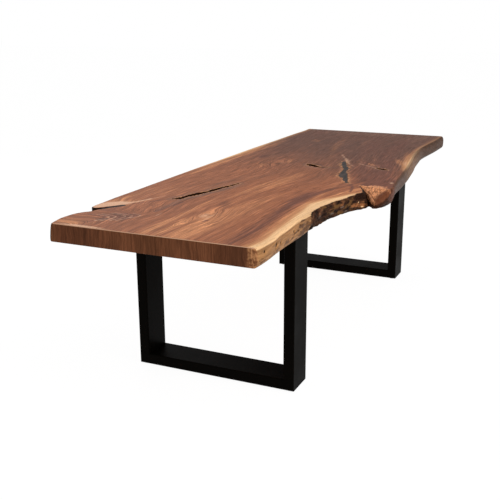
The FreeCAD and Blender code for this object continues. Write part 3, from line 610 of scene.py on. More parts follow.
def broken_knot(f, colours, wood, place, z, chips):
    """The knot: fresh chiselled face above, red-brown flank below, with painted shade over its lower right
    and towards the flank's foot.
    """
    across_face = f.noise(place, (60, 250, 60), 2, 0.6)
    fresh = f.shade(colours.knot_face, chips, 0.3, 0.7, 0.62, 1.2)
    fresh = f.shade(fresh, across_face, 0.42, 0.57, 0.5, 1.18)
    fresh = f.over(fresh, colours.knot_body, chips, 0.38, 0.31)
    # Painted shade over the knot's lower right, laid on the fresh face and on the flank
    shade = f.mark("knot_painted_shade", chips, 1.6)
    fresh = f.over(fresh, colours.knot_body, shade, 0.2, 0.9, 0.95)
    edge = f.mark("facet", chips, 0.9)
    flank = f.shade(colours.knot_body, chips, 0.34, 0.66, 0.5, 1.45)
    flank = f.shade(flank, across_face, 0.4, 0.6, 0.8, 1.2)
    # Painted shade: the flank darkens towards its foot
    flank = f.shade(flank, z, 0.682, 0.722, 0.4, 1)
    flank = f.over(flank, colours.bark_painted_shade, shade, 0.3, 1.1, 0.6)
    wood = f.mix(f.attribute("knot"), wood, flank)
    return f.over(wood, fresh, edge, 0.35, 0.65)


def end_grain(colours):
    """Sawn ends: growth rings cut across, with fine upright saw marks and a painted highlight along the top
    edge.
    """
    f = Finish("walnut end grain", specular=0.04)
    place = f.place()
    x, y, z = f.parts(place)
    wander = f.about(f.noise(place, (1, 9, 14), 3), 0.03)
    upright = f.vector(x, f.add(y, wander), z)
    band = f.noise(upright, (1, 14, 3), 3, 0.6)
    mark = f.noise(upright, (1, 240, 9), 3, 0.6)
    fine = f.noise(upright, (1, 700, 40), 2)
    wood = f.shade(colours.end_grain, band, 0.35, 0.65, 0.84, 1.18)
    wood = f.shade(wood, f.noise(upright, (1, 62, 5), 3, 0.6), 0.35, 0.65, 0.88, 1.12)
    from_middle = f.times(y, -1)
    warm = f.times(f.step(y, 0.36, 0.16), f.step(from_middle, 0.24, 0.16, 0, 0.07))
    wood = f.mix(warm, wood, colours.amber)
    wood = f.over(wood, colours.bark, f.add(from_middle, f.times(band, 0.08)), 0.25, 0.32, 0.25)
    blotch = f.noise(place, (1, 70, 70), 4, 0.7)
    ruddy = f.mix(f.step(blotch, 0.4, 0.6, 0.85, 0.25), colours.inner_sapwood, colours.knot_body)
    wood = f.over(wood, ruddy, f.add(from_middle, wander), 0.306, 0.322)
    wood = f.over(wood, colours.amber, y, 0.44, 0.5, 0.25)
    wood = f.shade(wood, mark, 0.3, 0.7, 0.72, 1.22)
    wood = f.shade(wood, fine, 0.3, 0.7, 0.88, 1.1)
    # Painted highlight: a cream line along the top arris, where the eased edge catches the light
    side = f.attribute("side")
    arris = f.times(f.step(side, 0.05, 0.4), f.step(side, 1, 0.8))
    arris = f.times(arris, f.step(z, 0.7, 0.74, 0, 0.8))
    f.colour(f.mix(arris, wood, colours.cream))
    f.roughness(f.step(mark, 0.3, 0.7, 0.62, 0.5))
    f.bump(f.add(mark, f.times(fine, 0.5)), 0.0003)
    return f.material


def crack_wood(colours):
    """Torn wood inside the cracks, darkened to near black as painted shade."""
    f = Finish("walnut crack", roughness=0.9, specular=0)
    fibres = f.noise(f.place(), (40, 160, 220), 3, 0.7)
    f.colour(f.over(colours.crack, colours.bark, fibres, 0.55, 0.75))
    f.bump(fibres, 0.001)
    return f.material


def filling(colours):
    """Cast filling: dark, greyed in cloudy patches partly as a painted reflection, with dust."""
    f = Finish("void filling", specular=0.04)
    place = f.place()
    cloud = f.noise(place, (22, 40, 40), 4, 0.6)
    dust = f.noise(place, (420, 420, 420), 2)
    # Painted reflection, in part: the dark filling is lightened and greyed in cloudy patches
    body = f.shade(colours.filling, cloud, 0.34, 0.66, 0.35, 1.7)
    body = f.over(body, colours.grey_heart, cloud, 0.62, 0.8)
    f.colour(f.over(body, colours.grey_heart, dust, 0.66, 0.72, 0.4))
    f.roughness(f.step(dust, 0.3, 0.7, 0.34, 0.46))
    f.bump(f.add(cloud, f.times(dust, 0.2)), 0.0002)
    return f.material


def powder_coat(colours):
    """Satin black powder coat with its fine pebbled skin."""
    f = Finish("powder coat", specular=0.012)
    place = f.place()
    pebble = f.noise(place, (520, 520, 520), 2)
    cloud = f.noise(place, (6, 6, 6), 3)
    coat = f.shade(colours.powder_coat, pebble, 0.3, 0.7, 0.82, 1.2)
    f.colour(f.shade(coat, cloud, 0.3, 0.7, 0.9, 1.12))
    f.roughness(f.step(cloud, 0.3, 0.7, 0.4, 0.5))
    f.bump(pebble, 0.00012)
    return f.material


def metal(name, colour, roughness, brushed):
    """Bare or plated metal: brushed says how many marks a metre holds along each axis."""
    f = Finish(name, metallic=1)
    place = f.place()
    marks = f.noise(place, brushed, 2)
    stain = f.noise(place, (70, 70, 70), 3, 0.6)
    base = f.shade(colour, marks, 0.3, 0.7, 0.86, 1.06)
    f.colour(f.shade(base, stain, 0.35, 0.7, 1, 0.8))
    f.roughness(f.add(roughness, f.about(stain, 0.25)))
    f.bump(marks, 0.00004)
    return f.material


def moulded_plastic(colours):
    """Dull moulded plastic of the floor glides."""
    f = Finish("glide plastic", specular=0.35)
    place = f.place()
    skin = f.noise(place, (900, 900, 900), 2)
    wear = f.noise(place, (60, 60, 10), 3)
    f.colour(f.shade(colours.glide, wear, 0.3, 0.7, 0.85, 1.25))
    f.roughness(f.step(wear, 0.3, 0.7, 0.6, 0.45))
    f.bump(skin, 0.00008)
    return f.material


class Skin:
    """Points and faces of one piece, gathered ring by ring."""

    def __init__(self):
        self.points = []
        self.side = []
        self.faces = []
        self.finishes = []
        self.smooth = []

    def ring(self, points, side=0.0):
        """Add a ring of points; side is 1 on the slab's natural edges and sawn ends, 0 on its flat faces."""
        start = len(self.points)
        self.points.extend(Vector(point) for point in points)
        self.side.extend([side] * len(points))
        return list(range(start, len(self.points)))

    def face(self, corners, finish=0, smooth=True):
        self.faces.append(tuple(corners))
        self.finishes.append(finish)
        self.smooth.append(smooth)

    def flat(self, plan, z, side=0.0):
        """A ring from plan points and one height, or a height for each."""
        return self.ring(np.column_stack([plan, np.full(len(plan), z)]), side)

    def bridge(self, lower, upper, finish=0, smooth=True):
        """Quads between two rings; a ring that turns to the left faces outwards."""
        for here in range(len(lower)):
            after = (here + 1) % len(lower)
            one_finish = finish[here] if isinstance(finish, list) else finish
            self.face((lower[here], lower[after], upper[after], upper[here]), one_finish, smooth)

    def stack(self, rings, finish=0, smooth=True):
        """Join every ring to the next."""
        for lower, upper in zip(rings, rings[1:]):
            self.bridge(lower, upper, finish, smooth)
        return rings

    def fan(self, ring, tip, upwards=True, finish=0):
        """Triangles from a ring to one point."""
        centre = self.ring([tip])[0]
        for here, point in enumerate(ring):
            after = ring[(here + 1) % len(ring)]
            self.face((point, after, centre) if upwards else (after, point, centre), finish)

    def turned(self, foot, profile, sides):
        """A turned piece, from the foot up; profile gives the radius and height of each ring."""
        return self.stack([self.ring(circle(foot, radius, height, sides)) for radius, height in profile])

    def close(self, rings, foot, low, high):
        """Close both ends of a turned piece, with the ends' middles this far above its foot."""
        self.fan(rings[0], (*foot[:2], foot[2] + low), False)
        self.fan(rings[-1], (*foot[:2], foot[2] + high), True)

    def build(self, name, materials, slot, replaced):
        """The finished object, riding on the table's one body."""
        mesh = bpy.data.meshes.new(name)
        mesh.from_pydata([tuple(point) for point in self.points], [], self.faces)
        mesh.validate()
        for material in materials:
            mesh.materials.append(material)
        mesh.polygons.foreach_set("material_index", self.finishes)
        mesh.polygons.foreach_set("use_smooth", self.smooth)
        mesh.update()
        piece = new_object(name, mesh)
        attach(piece, "root")
        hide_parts(replaced)
        return piece


def new_object(name, data):
    """A new object in the scene."""
    made = bpy.data.objects.new(name, data)
    bpy.context.scene.collection.objects.link(made)
    return made


def circle(centre, radius, height, sides, turn=1):
    """Points round an upright axis; radius may be a function of the angle, and turn -1 runs clockwise."""
    points = []
    x, y, z = centre
    for k in range(sides):
        angle = turn * math.tau * k / sides
        reach = radius(angle) if callable(radius) else radius
        points.append((x + reach * math.cos(angle), y + reach * math.sin(angle), z + height))
    return points


def to_frame(length_share, width_share):
    """A plan point from shares of the slab's length and width."""
    x = (length_share - 0.5) * LENGTH
    y = (width_share - 0.5) * PLANED_WIDTH + PLANED_MIDDLE
    return np.array([x, y])


# Points between two rows of a table while a line is drawn through them
STEPS_PER_ROW = 24

# Tips of the fissure beside the knot and of the split in the rear edge
FISSURE = to_frame(*FRONT_NEAR_SHARES[-1][:2])
SPLIT = to_frame(*REAR_NEAR_SHARES[0][:2])


def lookup(x, rows):
    """A table's value at each place, joined by straight lines."""
    return np.interp(x, *zip(*rows))


def even_steps(rows, spacing, smooth=True):
    """Rows of numbers joined by a smooth or straight line, cut into even steps of its own length."""
    rows = np.array(rows, float)
    dense = []
    padded = np.vstack([2 * rows[0] - rows[1], rows, 2 * rows[-1] - rows[-2]])
    shares = np.linspace(0, 1, STEPS_PER_ROW, endpoint=False)[:, None]
    for before, here, after, beyond in zip(padded, padded[1:], padded[2:], padded[3:]):
        if smooth:
            bent = 2 * before - 5 * here + 4 * after - beyond
            twisted = 3 * here - before - 3 * after + beyond
            dense.append(here + ((after - before) * shares + bent * shares**2 + twisted * shares**3) / 2)
        else:
            dense.append(here + (after - here) * shares)
    dense = np.vstack(dense + [rows[-1:]])
    walked = np.concatenate([[0], np.cumsum(np.linalg.norm(np.diff(dense[:, :2], axis=0), axis=1))])
    count = max(2, round(walked[-1] / spacing) + 1)
    stops = np.linspace(0, walked[-1], count)
    return np.stack([np.interp(stops, walked, column) for column in dense.T], 1)


def inside(points, loop):
    """Which points lie inside a closed plan line."""
    points = np.asarray(points, float).reshape(-1, 2)
    loop = np.asarray(loop, float)
    result = np.zeros(len(points), bool)
    for (x0, y0), (x1, y1) in zip(loop, np.roll(loop, -1, axis=0)):
        if y0 == y1:
            continue
        spans = (points[:, 1] > y0) != (points[:, 1] > y1)
        crossing = x0 + (points[:, 1] - y0) * (x1 - x0) / (y1 - y0)
        result ^= spans & (points[:, 0] < crossing)
    return result


def turns_left(loop):
    """Whether a closed plan line runs counter-clockwise, seen from above."""
    loop = np.asarray(loop)
    after = np.roll(loop, -1, axis=0)
    return np.sum(loop[:, 0] * after[:, 1] - after[:, 0] * loop[:, 1]) > 0


def rightwards(headings):
    """Unit plan directions, each a quarter turn to the right of its heading."""
    headings = headings / np.linalg.norm(headings, axis=1)[:, None]
    return np.stack([headings[:, 1], -headings[:, 0]], 1)


def rumple(plan, z, size):
    """Lumpy noise over plan points, about -1 to 1, taken at z; size is the width of a lump in metres."""
    points = np.column_stack([plan, np.full(len(plan), z)])
    return np.array([noise.fractal(Vector(point) / size, 1.0, 2.0, 4) for point in points])


def bell(x, y, centre_x, centre_y, half_length, half_width, turn=0.0):
    """A soft spot: 1 in the middle, fading over half_length and half_width."""
    angle = math.radians(turn)
    dx, dy = x - centre_x, y - centre_y
    along = dx * math.cos(angle) + dy * math.sin(angle)
    aside = dy * math.cos(angle) - dx * math.sin(angle)
    return np.exp(-(along / half_length) ** 2 - (aside / half_width) ** 2)


def fading(gap, reach):
    """1 at no distance, fading over reach."""
    return np.exp(-((gap / reach) ** 2))


def plan_tree(points):
    """Search tree over the plan places of points."""
    tree = kdtree.KDTree(len(points))
    for number, point in enumerate(points):
        tree.insert((point[0], point[1], 0), number)
    tree.balance()
    return tree


def fill(skin, outline, holes, grid, height, upwards, finish=0, smooth=False):
    """Triangles over the region inside outline and outside the holes, through the grid's points."""
    loops = [outline] + holes
    plan = [[(skin.points[k].x, skin.points[k].y) for k in loop] for loop in loops]
    rim = plan_tree([point for loop in plan for point in loop])

    def within(points):
        keep = inside(points, plan[0])
        for loop in plan[1:]:
            keep &= ~inside(points, loop)
        return keep

    kept = within([(x, y) for x, y, gap in grid])
    extra = [(x, y) for (x, y, gap), good in zip(grid, kept) if good and rim.find((x, y, 0))[2] > gap]
    numbers = [k for loop in loops for k in loop]
    if extra:
        numbers += skin.ring(np.column_stack([extra, height(*np.transpose(extra))]))
    corners = [Vector(point) for loop in plan for point in loop] + [Vector(point) for point in extra]
    edges = []
    start = 0
    for loop in plan:
        edges += [(start + k, start + (k + 1) % len(loop)) for k in range(len(loop))]
        start += len(loop)
    found, _, triangles, sources, _, _ = geometry.delaunay_2d_cdt(corners, edges, [], 0, 1e-7)
    if len(found) != len(corners):
        raise RuntimeError("the outline and its holes cross each other")
    middles = [
        (sum(found[k].x for k in triangle) / 3, sum(found[k].y for k in triangle) / 3)
        for triangle in triangles
    ]
    for triangle, good in zip(triangles, within(middles)):
        if good:
            corners = [numbers[sources[k][0]] for k in triangle]
            a, b, c = (skin.points[k] for k in corners)
            left = (b.x - a.x) * (c.y - a.y) > (c.x - a.x) * (b.y - a.y)
            skin.face(corners if left == upwards else corners[::-1], finish, smooth)


# Columns of the outline's stations: plan place of the top and of the underside, swell across the table,
# natural edge (1) or sawn end (0), and past the knot's fissure (1) or not (0)
TOP, LOW, SWELL, NATURAL, PAST_FISSURE = slice(0, 2), slice(2, 4), 4, 5, 6


def edge_stations(shares, swell, past_fissure, spacing):
    """Stations along one stretch of natural edge."""
    rows = []
    for length, top_width, *low_length, low_width in shares:
        top = to_frame(length, top_width)
        low = to_frame(*(low_length or [length]), low_width)
        rows.append([*top, *low, swell, 1, past_fissure])
    return even_steps(rows, spacing)


def joined(before, after, radius):
    """Two stretches of stations with the corner between them rounded."""
    corner = before[-1]
    start = before[np.linalg.norm(before[:, TOP] - corner[TOP], axis=1) > radius]
    end = after[np.linalg.norm(after[:, TOP] - corner[TOP], axis=1) > radius]
    turn = [
        start[-1] * (1 - t) ** 2 + corner * 2 * t * (1 - t) + end[0] * t**2 for t in (0.2, 0.4, 0.6, 0.8)
    ]
    return start, np.array(turn), end


def outline_stations(sizes):
    """All stations round the slab, turning left, seen from above."""
    front_near = edge_stations(FRONT_NEAR_SHARES, -sizes.front_bulge, 0, 0.004)
    front_far = edge_stations(FRONT_FAR_SHARES, -sizes.front_bulge, 1, 0.0045)
    rear_far = edge_stations(REAR_FAR_SHARES, sizes.rear_bulge, 1, 0.008)
    rear_near = edge_stations(REAR_NEAR_SHARES, sizes.rear_bulge, 0, 0.006)
    sawn = []
    for start, end in ((front_far[-1], rear_far[0]), (rear_near[-1], front_near[0])):
        stretch = even_steps([start, end], 0.008, smooth=False)
        stretch[:, NATURAL] = 0
        sawn.append(stretch)
    far_end, near_end = sawn
    front_far, turn_1, far_end = joined(front_far, far_end, sizes.front_corner)
    far_end, turn_2, rear_far = joined(far_end, rear_far, sizes.rear_corner)
    rear_near, turn_3, near_end = joined(rear_near, near_end, sizes.rear_corner)
    near_end, turn_4, front_near = joined(near_end, front_near, sizes.front_corner)
    return np.vstack([
        front_near, front_far[1:], turn_1, far_end, turn_2, rear_far, rear_near[1:], turn_3, near_end, turn_4,
    ])


def swell_share(height_share):
    """How much of the swell an edge has at a share of the slab's thickness."""
    middle = np.abs(2 * np.clip(height_share, 0, 1) - 1)
    return (1 - middle**3) ** (1 / 1.6)


class KnotFace:
    """The knot's broken face: a plane that falls away from a line across the knot."""

    def __init__(self, drop):
        self.region = np.array([to_frame(*shares) for shares in KNOT_FACE_SHARES])
        self.start = self.region[0]
        run = self.region[1] - self.start
        self.run = run / np.linalg.norm(run)
        self.away = np.array([self.run[1], -self.run[0]])
        self.reach = max((corner - self.start) @ self.away for corner in self.region)
        self.slope = drop / self.reach

    def distance(self, x, y):
        """How far plan points lie past the level line, towards the broken side."""
        return (x - self.start[0]) * self.away[0] + (y - self.start[1]) * self.away[1]

    def beside(self, x, y):
        """How far plan points lie along the level line, from its start."""
        return (x - self.start[0]) * self.run[0] + (y - self.start[1]) * self.run[1]

    def drop(self, x, y):
        return np.maximum(self.distance(x, y), 0) * self.slope

    def covers(self, x, y):
        """Which plan points lie on the broken face."""
        return inside(np.column_stack([x, y]), self.region)


class SlabMaker:
    """Makes the slab's mesh from its outline, cracks, void and knot."""

    def __init__(self, sizes):
        self.sizes = sizes
        self.skin = Skin()
        self.knot = KnotFace(sizes.knot_drop)
        self.stations = outline_stations(sizes)
        top = self.stations[:, TOP]
        middle = top + self.stations[:, LOW]
        self.outward = rightwards(np.roll(middle, -2, axis=0) - np.roll(middle, 2, axis=0))
        x, y = top.T
        self.natural = self.stations[:, NATURAL] > 0.5
        front = self.natural & (y < 0)
        past = self.stations[:, PAST_FISSURE] > 0.5
        bark = lookup(x, [(-0.98, 0), (-0.80, 1), (-0.36, 1), (-0.30, 0.3)])
        self.bark = np.where(front & ~past, bark, 0)
        reach = lookup(x, [(-0.40, 1), (-0.36, 1), (-0.24, 0.8), (-0.12, 0)])
        self.knotty = np.where(front & past, reach, 0)
        self.broken = front & past & (self.knot.distance(x, y) > 0)
        apart = np.minimum(np.linalg.norm(top - FISSURE, axis=1), np.linalg.norm(top - SPLIT, axis=1))
        self.free = np.clip(apart / FREE_REACH, 0, 1)

    def plan(self, height):
        """Plan places of all stations at a height above the underside, one height for each station."""
        share = (height / THICKNESS)[:, None]
        places = self.stations[:, LOW] + (self.stations[:, TOP] - self.stations[:, LOW]) * share
        places[:, 1] += self.stations[:, SWELL] * swell_share(height / THICKNESS)
        return places

    def rim_heights(self):
        """Height of the side under the top face, or under the knot's broken face."""
        heights = np.full(len(self.stations), THICKNESS)
        for _ in range(5):
            x, y = self.plan(heights).T
            heights = np.where(self.broken, THICKNESS - self.knot.drop(x, y), THICKNESS)
        return heights

    def relief(self, places, heights):
        """How far lumps push the side outwards."""
        sizes = self.sizes
        depth = PLAIN_RELIEF + self.bark * sizes.bark_relief + self.knotty * sizes.knot_relief
        depth = np.where(self.natural, depth, 0) * self.free
        lumpy = np.nonzero(depth)[0]
        plan, z = places[lumpy], heights[lumpy] * 1.4
        depth[lumpy] *= rumple(plan, z, 0.045) + 0.55 * rumple(plan, z, 0.014)
        return depth

    def dent(self, places, heights):
        """How far the worm holes pull the side inwards."""
        pulled = np.zeros(len(places))
        for along, height, radius in WORM_HOLES:
            apart = np.hypot(places[:, 0] - along, heights + UNDERSIDE - height)
            pulled += np.where((places[:, 1] < 0) & self.natural, fading(apart, radius) * radius * 0.9, 0)
        return pulled

    def sides(self):
        """The rings of the outer skin, from the underside up to the top."""
        sizes = self.sizes
        rim = self.rim_heights()
        low_arris = sizes.arris * (1 + self.knotty)
        top_arris = sizes.arris * (1 + 3.5 * self.broken * self.free)
        rows = []
        for angle in ARRIS_ANGLES:
            inset, drop = 1 - math.sin(angle), 1 - math.cos(angle)
            rows.append((low_arris * drop, low_arris * inset, math.sin(angle)))
        for share in np.linspace(0, 1, FLANK_RINGS + 2)[1:-1]:
            rows.append((low_arris + (rim - top_arris - low_arris) * share, 0, 1.0))
        for angle in ARRIS_ANGLES:
            drop, inset = 1 - math.sin(angle), 1 - math.cos(angle)
            rows.append((rim - top_arris * drop, top_arris * inset, math.cos(angle)))
        rings = []
        for heights, inset, side in rows:
            edge = np.clip(heights, low_arris, rim - top_arris)
            places = self.plan(heights)
            push = self.relief(self.plan(edge), edge) - self.dent(places, heights) - inset
            places = places + self.outward * push[:, None]
            rings.append(self.skin.flat(places, UNDERSIDE + heights, side))
        self.skin.stack(rings, [PLANED if natural else SAWN for natural in self.natural])
        return rings[0], rings[-1]

    def walls(self, rings):
        """Join the rings of an opening, from the top down: planed wood at the rim, torn wood below it."""
        for number, (upper, lower) in enumerate(zip(rings, rings[1:])):
            self.skin.bridge(lower, upper, TORN if number else PLANED)

    def opening(self, shares, width, depth):
        """A crack: ragged loop, then rough walls that close towards its bottom line."""
        rows = [[*to_frame(length, across), max(share, 0.12)] for length, across, share in shares]
        rows[0][2] = rows[-1][2] = 0.2
        line = even_steps(rows, 0.003)
        plan = line[:, :2]
        aside = -rightwards(np.gradient(plan, axis=0))
        sides = []
        for sign in (1, -1):
            half = line[:, 2] * width / 2 * (1 + 0.5 * rumple(plan, sign, 0.009))
            sides.append(aside * (sign * np.maximum(half, 0.0003))[:, None])
        left, right = sides
        rings = []
        profile = [(1.04, 0), (0.95, 0.02), (0.86, 0.08), (0.74, 0.25), (0.6, 0.5), (0.4, 0.78), (0.12, 1.0)]
        for share, deep in profile:
            loop = np.vstack([plan + left * share, (plan + right * share)[::-1]])
            if 0 < deep < 1:
                jitter = 0.0015 * rumple(loop, deep, 0.012) * share
                loop = loop + np.vstack([aside, aside[::-1]]) * jitter[:, None]
            rings.append(self.skin.flat(loop, TABLETOP - depth * deep))
        self.walls(rings)
        bottom = rings[-1]
        for k in range(len(line) - 1):
            self.skin.face((bottom[k], bottom[-1 - k], bottom[-2 - k], bottom[k + 1]), TORN)
        return rings[0]

    def pocket(self, loop):
        """The void that the filling sits in."""
        rings = []
        for outset, deep in ((0.0004, 0), (0, 0.0004), (0, self.sizes.resin_depth)):
            rings.append(self.skin.flat(offset(loop, outset), TABLETOP - deep))
        self.walls(rings)
        fill(self.skin, rings[-1], [], [], None, True, TORN)
        return rings[0]

    def insert_hole(self, centre):
        """A stepped hole in the underside for one threaded insert."""
        low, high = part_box("left_leg_inserts")
        foot, depth = (*centre, UNDERSIDE), high.z - low.z
        steps = [(FLANGE_RADIUS, 0), (FLANGE_RADIUS, FLANGE_DEPTH)]
        steps += [(BARREL_RADIUS, FLANGE_DEPTH), (BARREL_RADIUS, depth)]
        rings = [self.skin.ring(circle(foot, radius, height, sides=24, turn=-1)) for radius, height in steps]
        self.skin.stack(rings, TORN, smooth=False)
        self.skin.fan(rings[-1], (*centre, UNDERSIDE + depth), True, TORN)
        return rings[0]

    def top_height(self, x, y):
        """Height of the top face, with the chipped surface of the broken knot."""
        heights = np.full(len(x), TABLETOP)
        broken = np.nonzero(self.knot.covers(x, y))[0]
        plan = np.column_stack([x, y])[broken]
        chips = rumple(plan, 0, 0.02) + 0.6 * rumple(plan, 1, 0.008)
        fade = np.minimum(self.knot.distance(*plan.T) / 0.01, 1)
        heights[broken] += 0.0016 * chips * fade - self.knot.drop(*plan.T)
        return heights

    def top_grid(self):
        """Places inside the top face: close on the near half, closest on the broken knot."""
        plain = []
        for start, stop, gap in TOP_GRID:
            for number, x in enumerate(np.arange(start, stop, gap)):
                shift = gap / 2 if number % 2 else 0.0
                across = np.arange(-0.52, SPLIT_CORNER[1] if x < SPLIT_CORNER[0] else 0.52, gap)
                plain += [(x, y + shift, gap * 0.45) for y in across]
        for number, x in enumerate(np.arange(-1.368, SPLIT_CORNER[0], SPLIT_GAP)):
            shift = SPLIT_GAP / 2 if number % 2 else 0.0
            plain += [(x, y + shift, 0.003) for y in np.arange(SPLIT_CORNER[1], 0.51, SPLIT_GAP)]
        x, y, _ = np.transpose(plain)
        clear = ~self.knot.covers(x + 0.005, y) & ~self.knot.covers(x - 0.005, y)
        grid = [row for row, kept in zip(plain, clear) if kept]
        chipped = []
        for along in np.arange(0, 0.19, KNOT_GAP):
            for past in np.arange(0.00001, self.knot.reach, KNOT_GAP):
                place = self.knot.start + self.knot.run * along + self.knot.away * past
                chipped.append((*place, 0.0018))
        x, y, _ = np.transpose(chipped)
        grid += [row for row, kept in zip(chipped, self.knot.covers(x, y)) if kept]
        return grid

    def make(self):
        """Fill the skin: sides, openings, top face and underside."""
        sizes = self.sizes
        underside, top = self.sides()
        openings = [
            self.opening(LONG_CRACK_SHARES, sizes.long_crack_width, sizes.long_crack_depth),
            self.opening(HOOK_CRACK_SHARES, sizes.short_crack_width, sizes.short_crack_depth),
            self.opening(EDGE_CRACK_SHARES, sizes.short_crack_width, sizes.short_crack_depth),
            self.pocket(ragged_void()),
        ]
        self.crack_rim = [self.skin.points[k] for ring in openings[:3] for k in ring]
        self.void_rim = [self.skin.points[k] for k in openings[3]]
        fill(self.skin, top, openings, self.top_grid(), self.top_height, True)
        holes = []
        for side in SIDES:
            for centre in grid_places(f"{side}_leg_inserts", FLANGE_RADIUS, BOLT_ROWS):
                holes.append(self.insert_hole(centre))
        steps = np.arange(-1.36, 1.37, 0.026), np.arange(-0.5, 0.51, 0.026)
        coarse = [(x, y, 0.01) for x in steps[0] for y in steps[1]]
        fill(self.skin, underside, holes, coarse, lambda x, y: np.full(len(x), UNDERSIDE), False)


def grid_places(node, radius, across):
    """Middles of like round pieces in one node: two along the table, and so many across it."""
    low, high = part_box(node)
    places = []
    for x in (low.x + radius, high.x - radius):
        for share in np.linspace(0, 1, across):
            places.append((x, low.y + radius + (high.y - low.y - 2 * radius) * share))
    return places


def offset(loop, outset):
    """A closed plan line moved outwards by outset, or inwards where that is negative."""
    outwards = rightwards(np.roll(loop, -1, axis=0) - np.roll(loop, 1, axis=0))
    return loop + (outset if turns_left(loop) else -outset) * outwards


def ragged_void():
    """Plan line of the filled void, broken up at its edge, turning right."""
    corners = [to_frame(*shares) for shares in VOID_SHARES]
    loop = even_steps(corners + corners[:1], 0.0035, smooth=False)[:-1]
    jitter = 0.001 + 0.010 * rumple(loop, 0, 0.026) + 0.007 * rumple(loop, 1, 0.012)
    loop = offset(loop, jitter[:, None])
    return loop[::-1] if turns_left(loop) else loop


def nearest(points, targets):
    """Distance from each point to the nearest target, seen from above."""
    tree = plan_tree(targets)
    return np.array([tree.find((point[0], point[1], 0))[2] for point in points])


def line_gap(points, places):
    """Distance from each point to a line through places, seen from above."""
    gaps = np.full(len(points), 10.0)
    for start, end in zip(places, places[1:]):
        start, run = np.array(start), np.subtract(end, start)
        share = np.clip((points[:, :2] - start) @ run / (run @ run), 0, 1)
        gaps = np.minimum(gaps, np.linalg.norm(points[:, :2] - start - share[:, None] * run, axis=1))
    return gaps


def nested_lines():
    """Broken light and dark lines that turn round the branch, one inside the other."""
    lines = []
    for number in range(NESTED_LINES):
        wander = 0.005 * noise.noise(Vector((number * 1.37, 0.5, 0)))
        tip_x = NESTED_START[0] + number * NESTED_STEP[0] + wander
        tip_y = NESTED_START[1] + number * NESTED_STEP[1] - wander
        reach = 0.075 + 0.05 * noise.noise(Vector((number * 2.13, 4.5, 0)))
        places = [
            (tip_x - reach, tip_y + 0.020), (tip_x - reach / 2, tip_y + 0.002), (tip_x - 0.012, tip_y),
            (tip_x, tip_y + 0.008), (tip_x + 0.008, tip_y + reach / 2), (tip_x + 0.012, tip_y + reach),
        ]
        tone, strength = ("dusk", 0.9) if number % 2 else ("cream", 0.54)
        lines.append((tone, 0.005, strength, places))
    return lines


def edge_line(edge, x):
    """How far across the table a natural edge runs at each place along it, with its bends smoothed."""
    samples, window = 111, 9
    order = np.argsort(edge[:, 0])
    steps = np.linspace(-LENGTH / 2, LENGTH / 2, samples)
    padded = np.pad(np.interp(steps, *edge[order].T), window // 2, mode="edge")
    return np.interp(x, steps, np.convolve(padded, np.full(window, 1 / window), mode="valid"))


def grain_across(x, y, front, rear):
    """Place across the growth lines, which follow both natural edges, the eyes and the branch."""
    front_line, rear_line = edge_line(front, x), edge_line(rear, x)
    across = -0.35 + 0.86 * (y - front_line) / (rear_line - front_line)
    for eye in EYES:
        across = across - (y - eye[1]) * 0.88 * bell(x, y, *eye)
    beside = 0.8 * (BRANCH_TURN[0] - x)
    beyond = y - BRANCH_TURN[1]
    nearer = (beside + beyond - np.hypot(beside - beyond, BRANCH_SOFTNESS)) / 2
    blend = np.clip((beyond + 0.05) / 0.05, 0, 1) * np.clip((BRANCH_TURN[0] + 0.02 - x) / 0.03, 0, 1)
    return across + (nearer - beyond) * blend


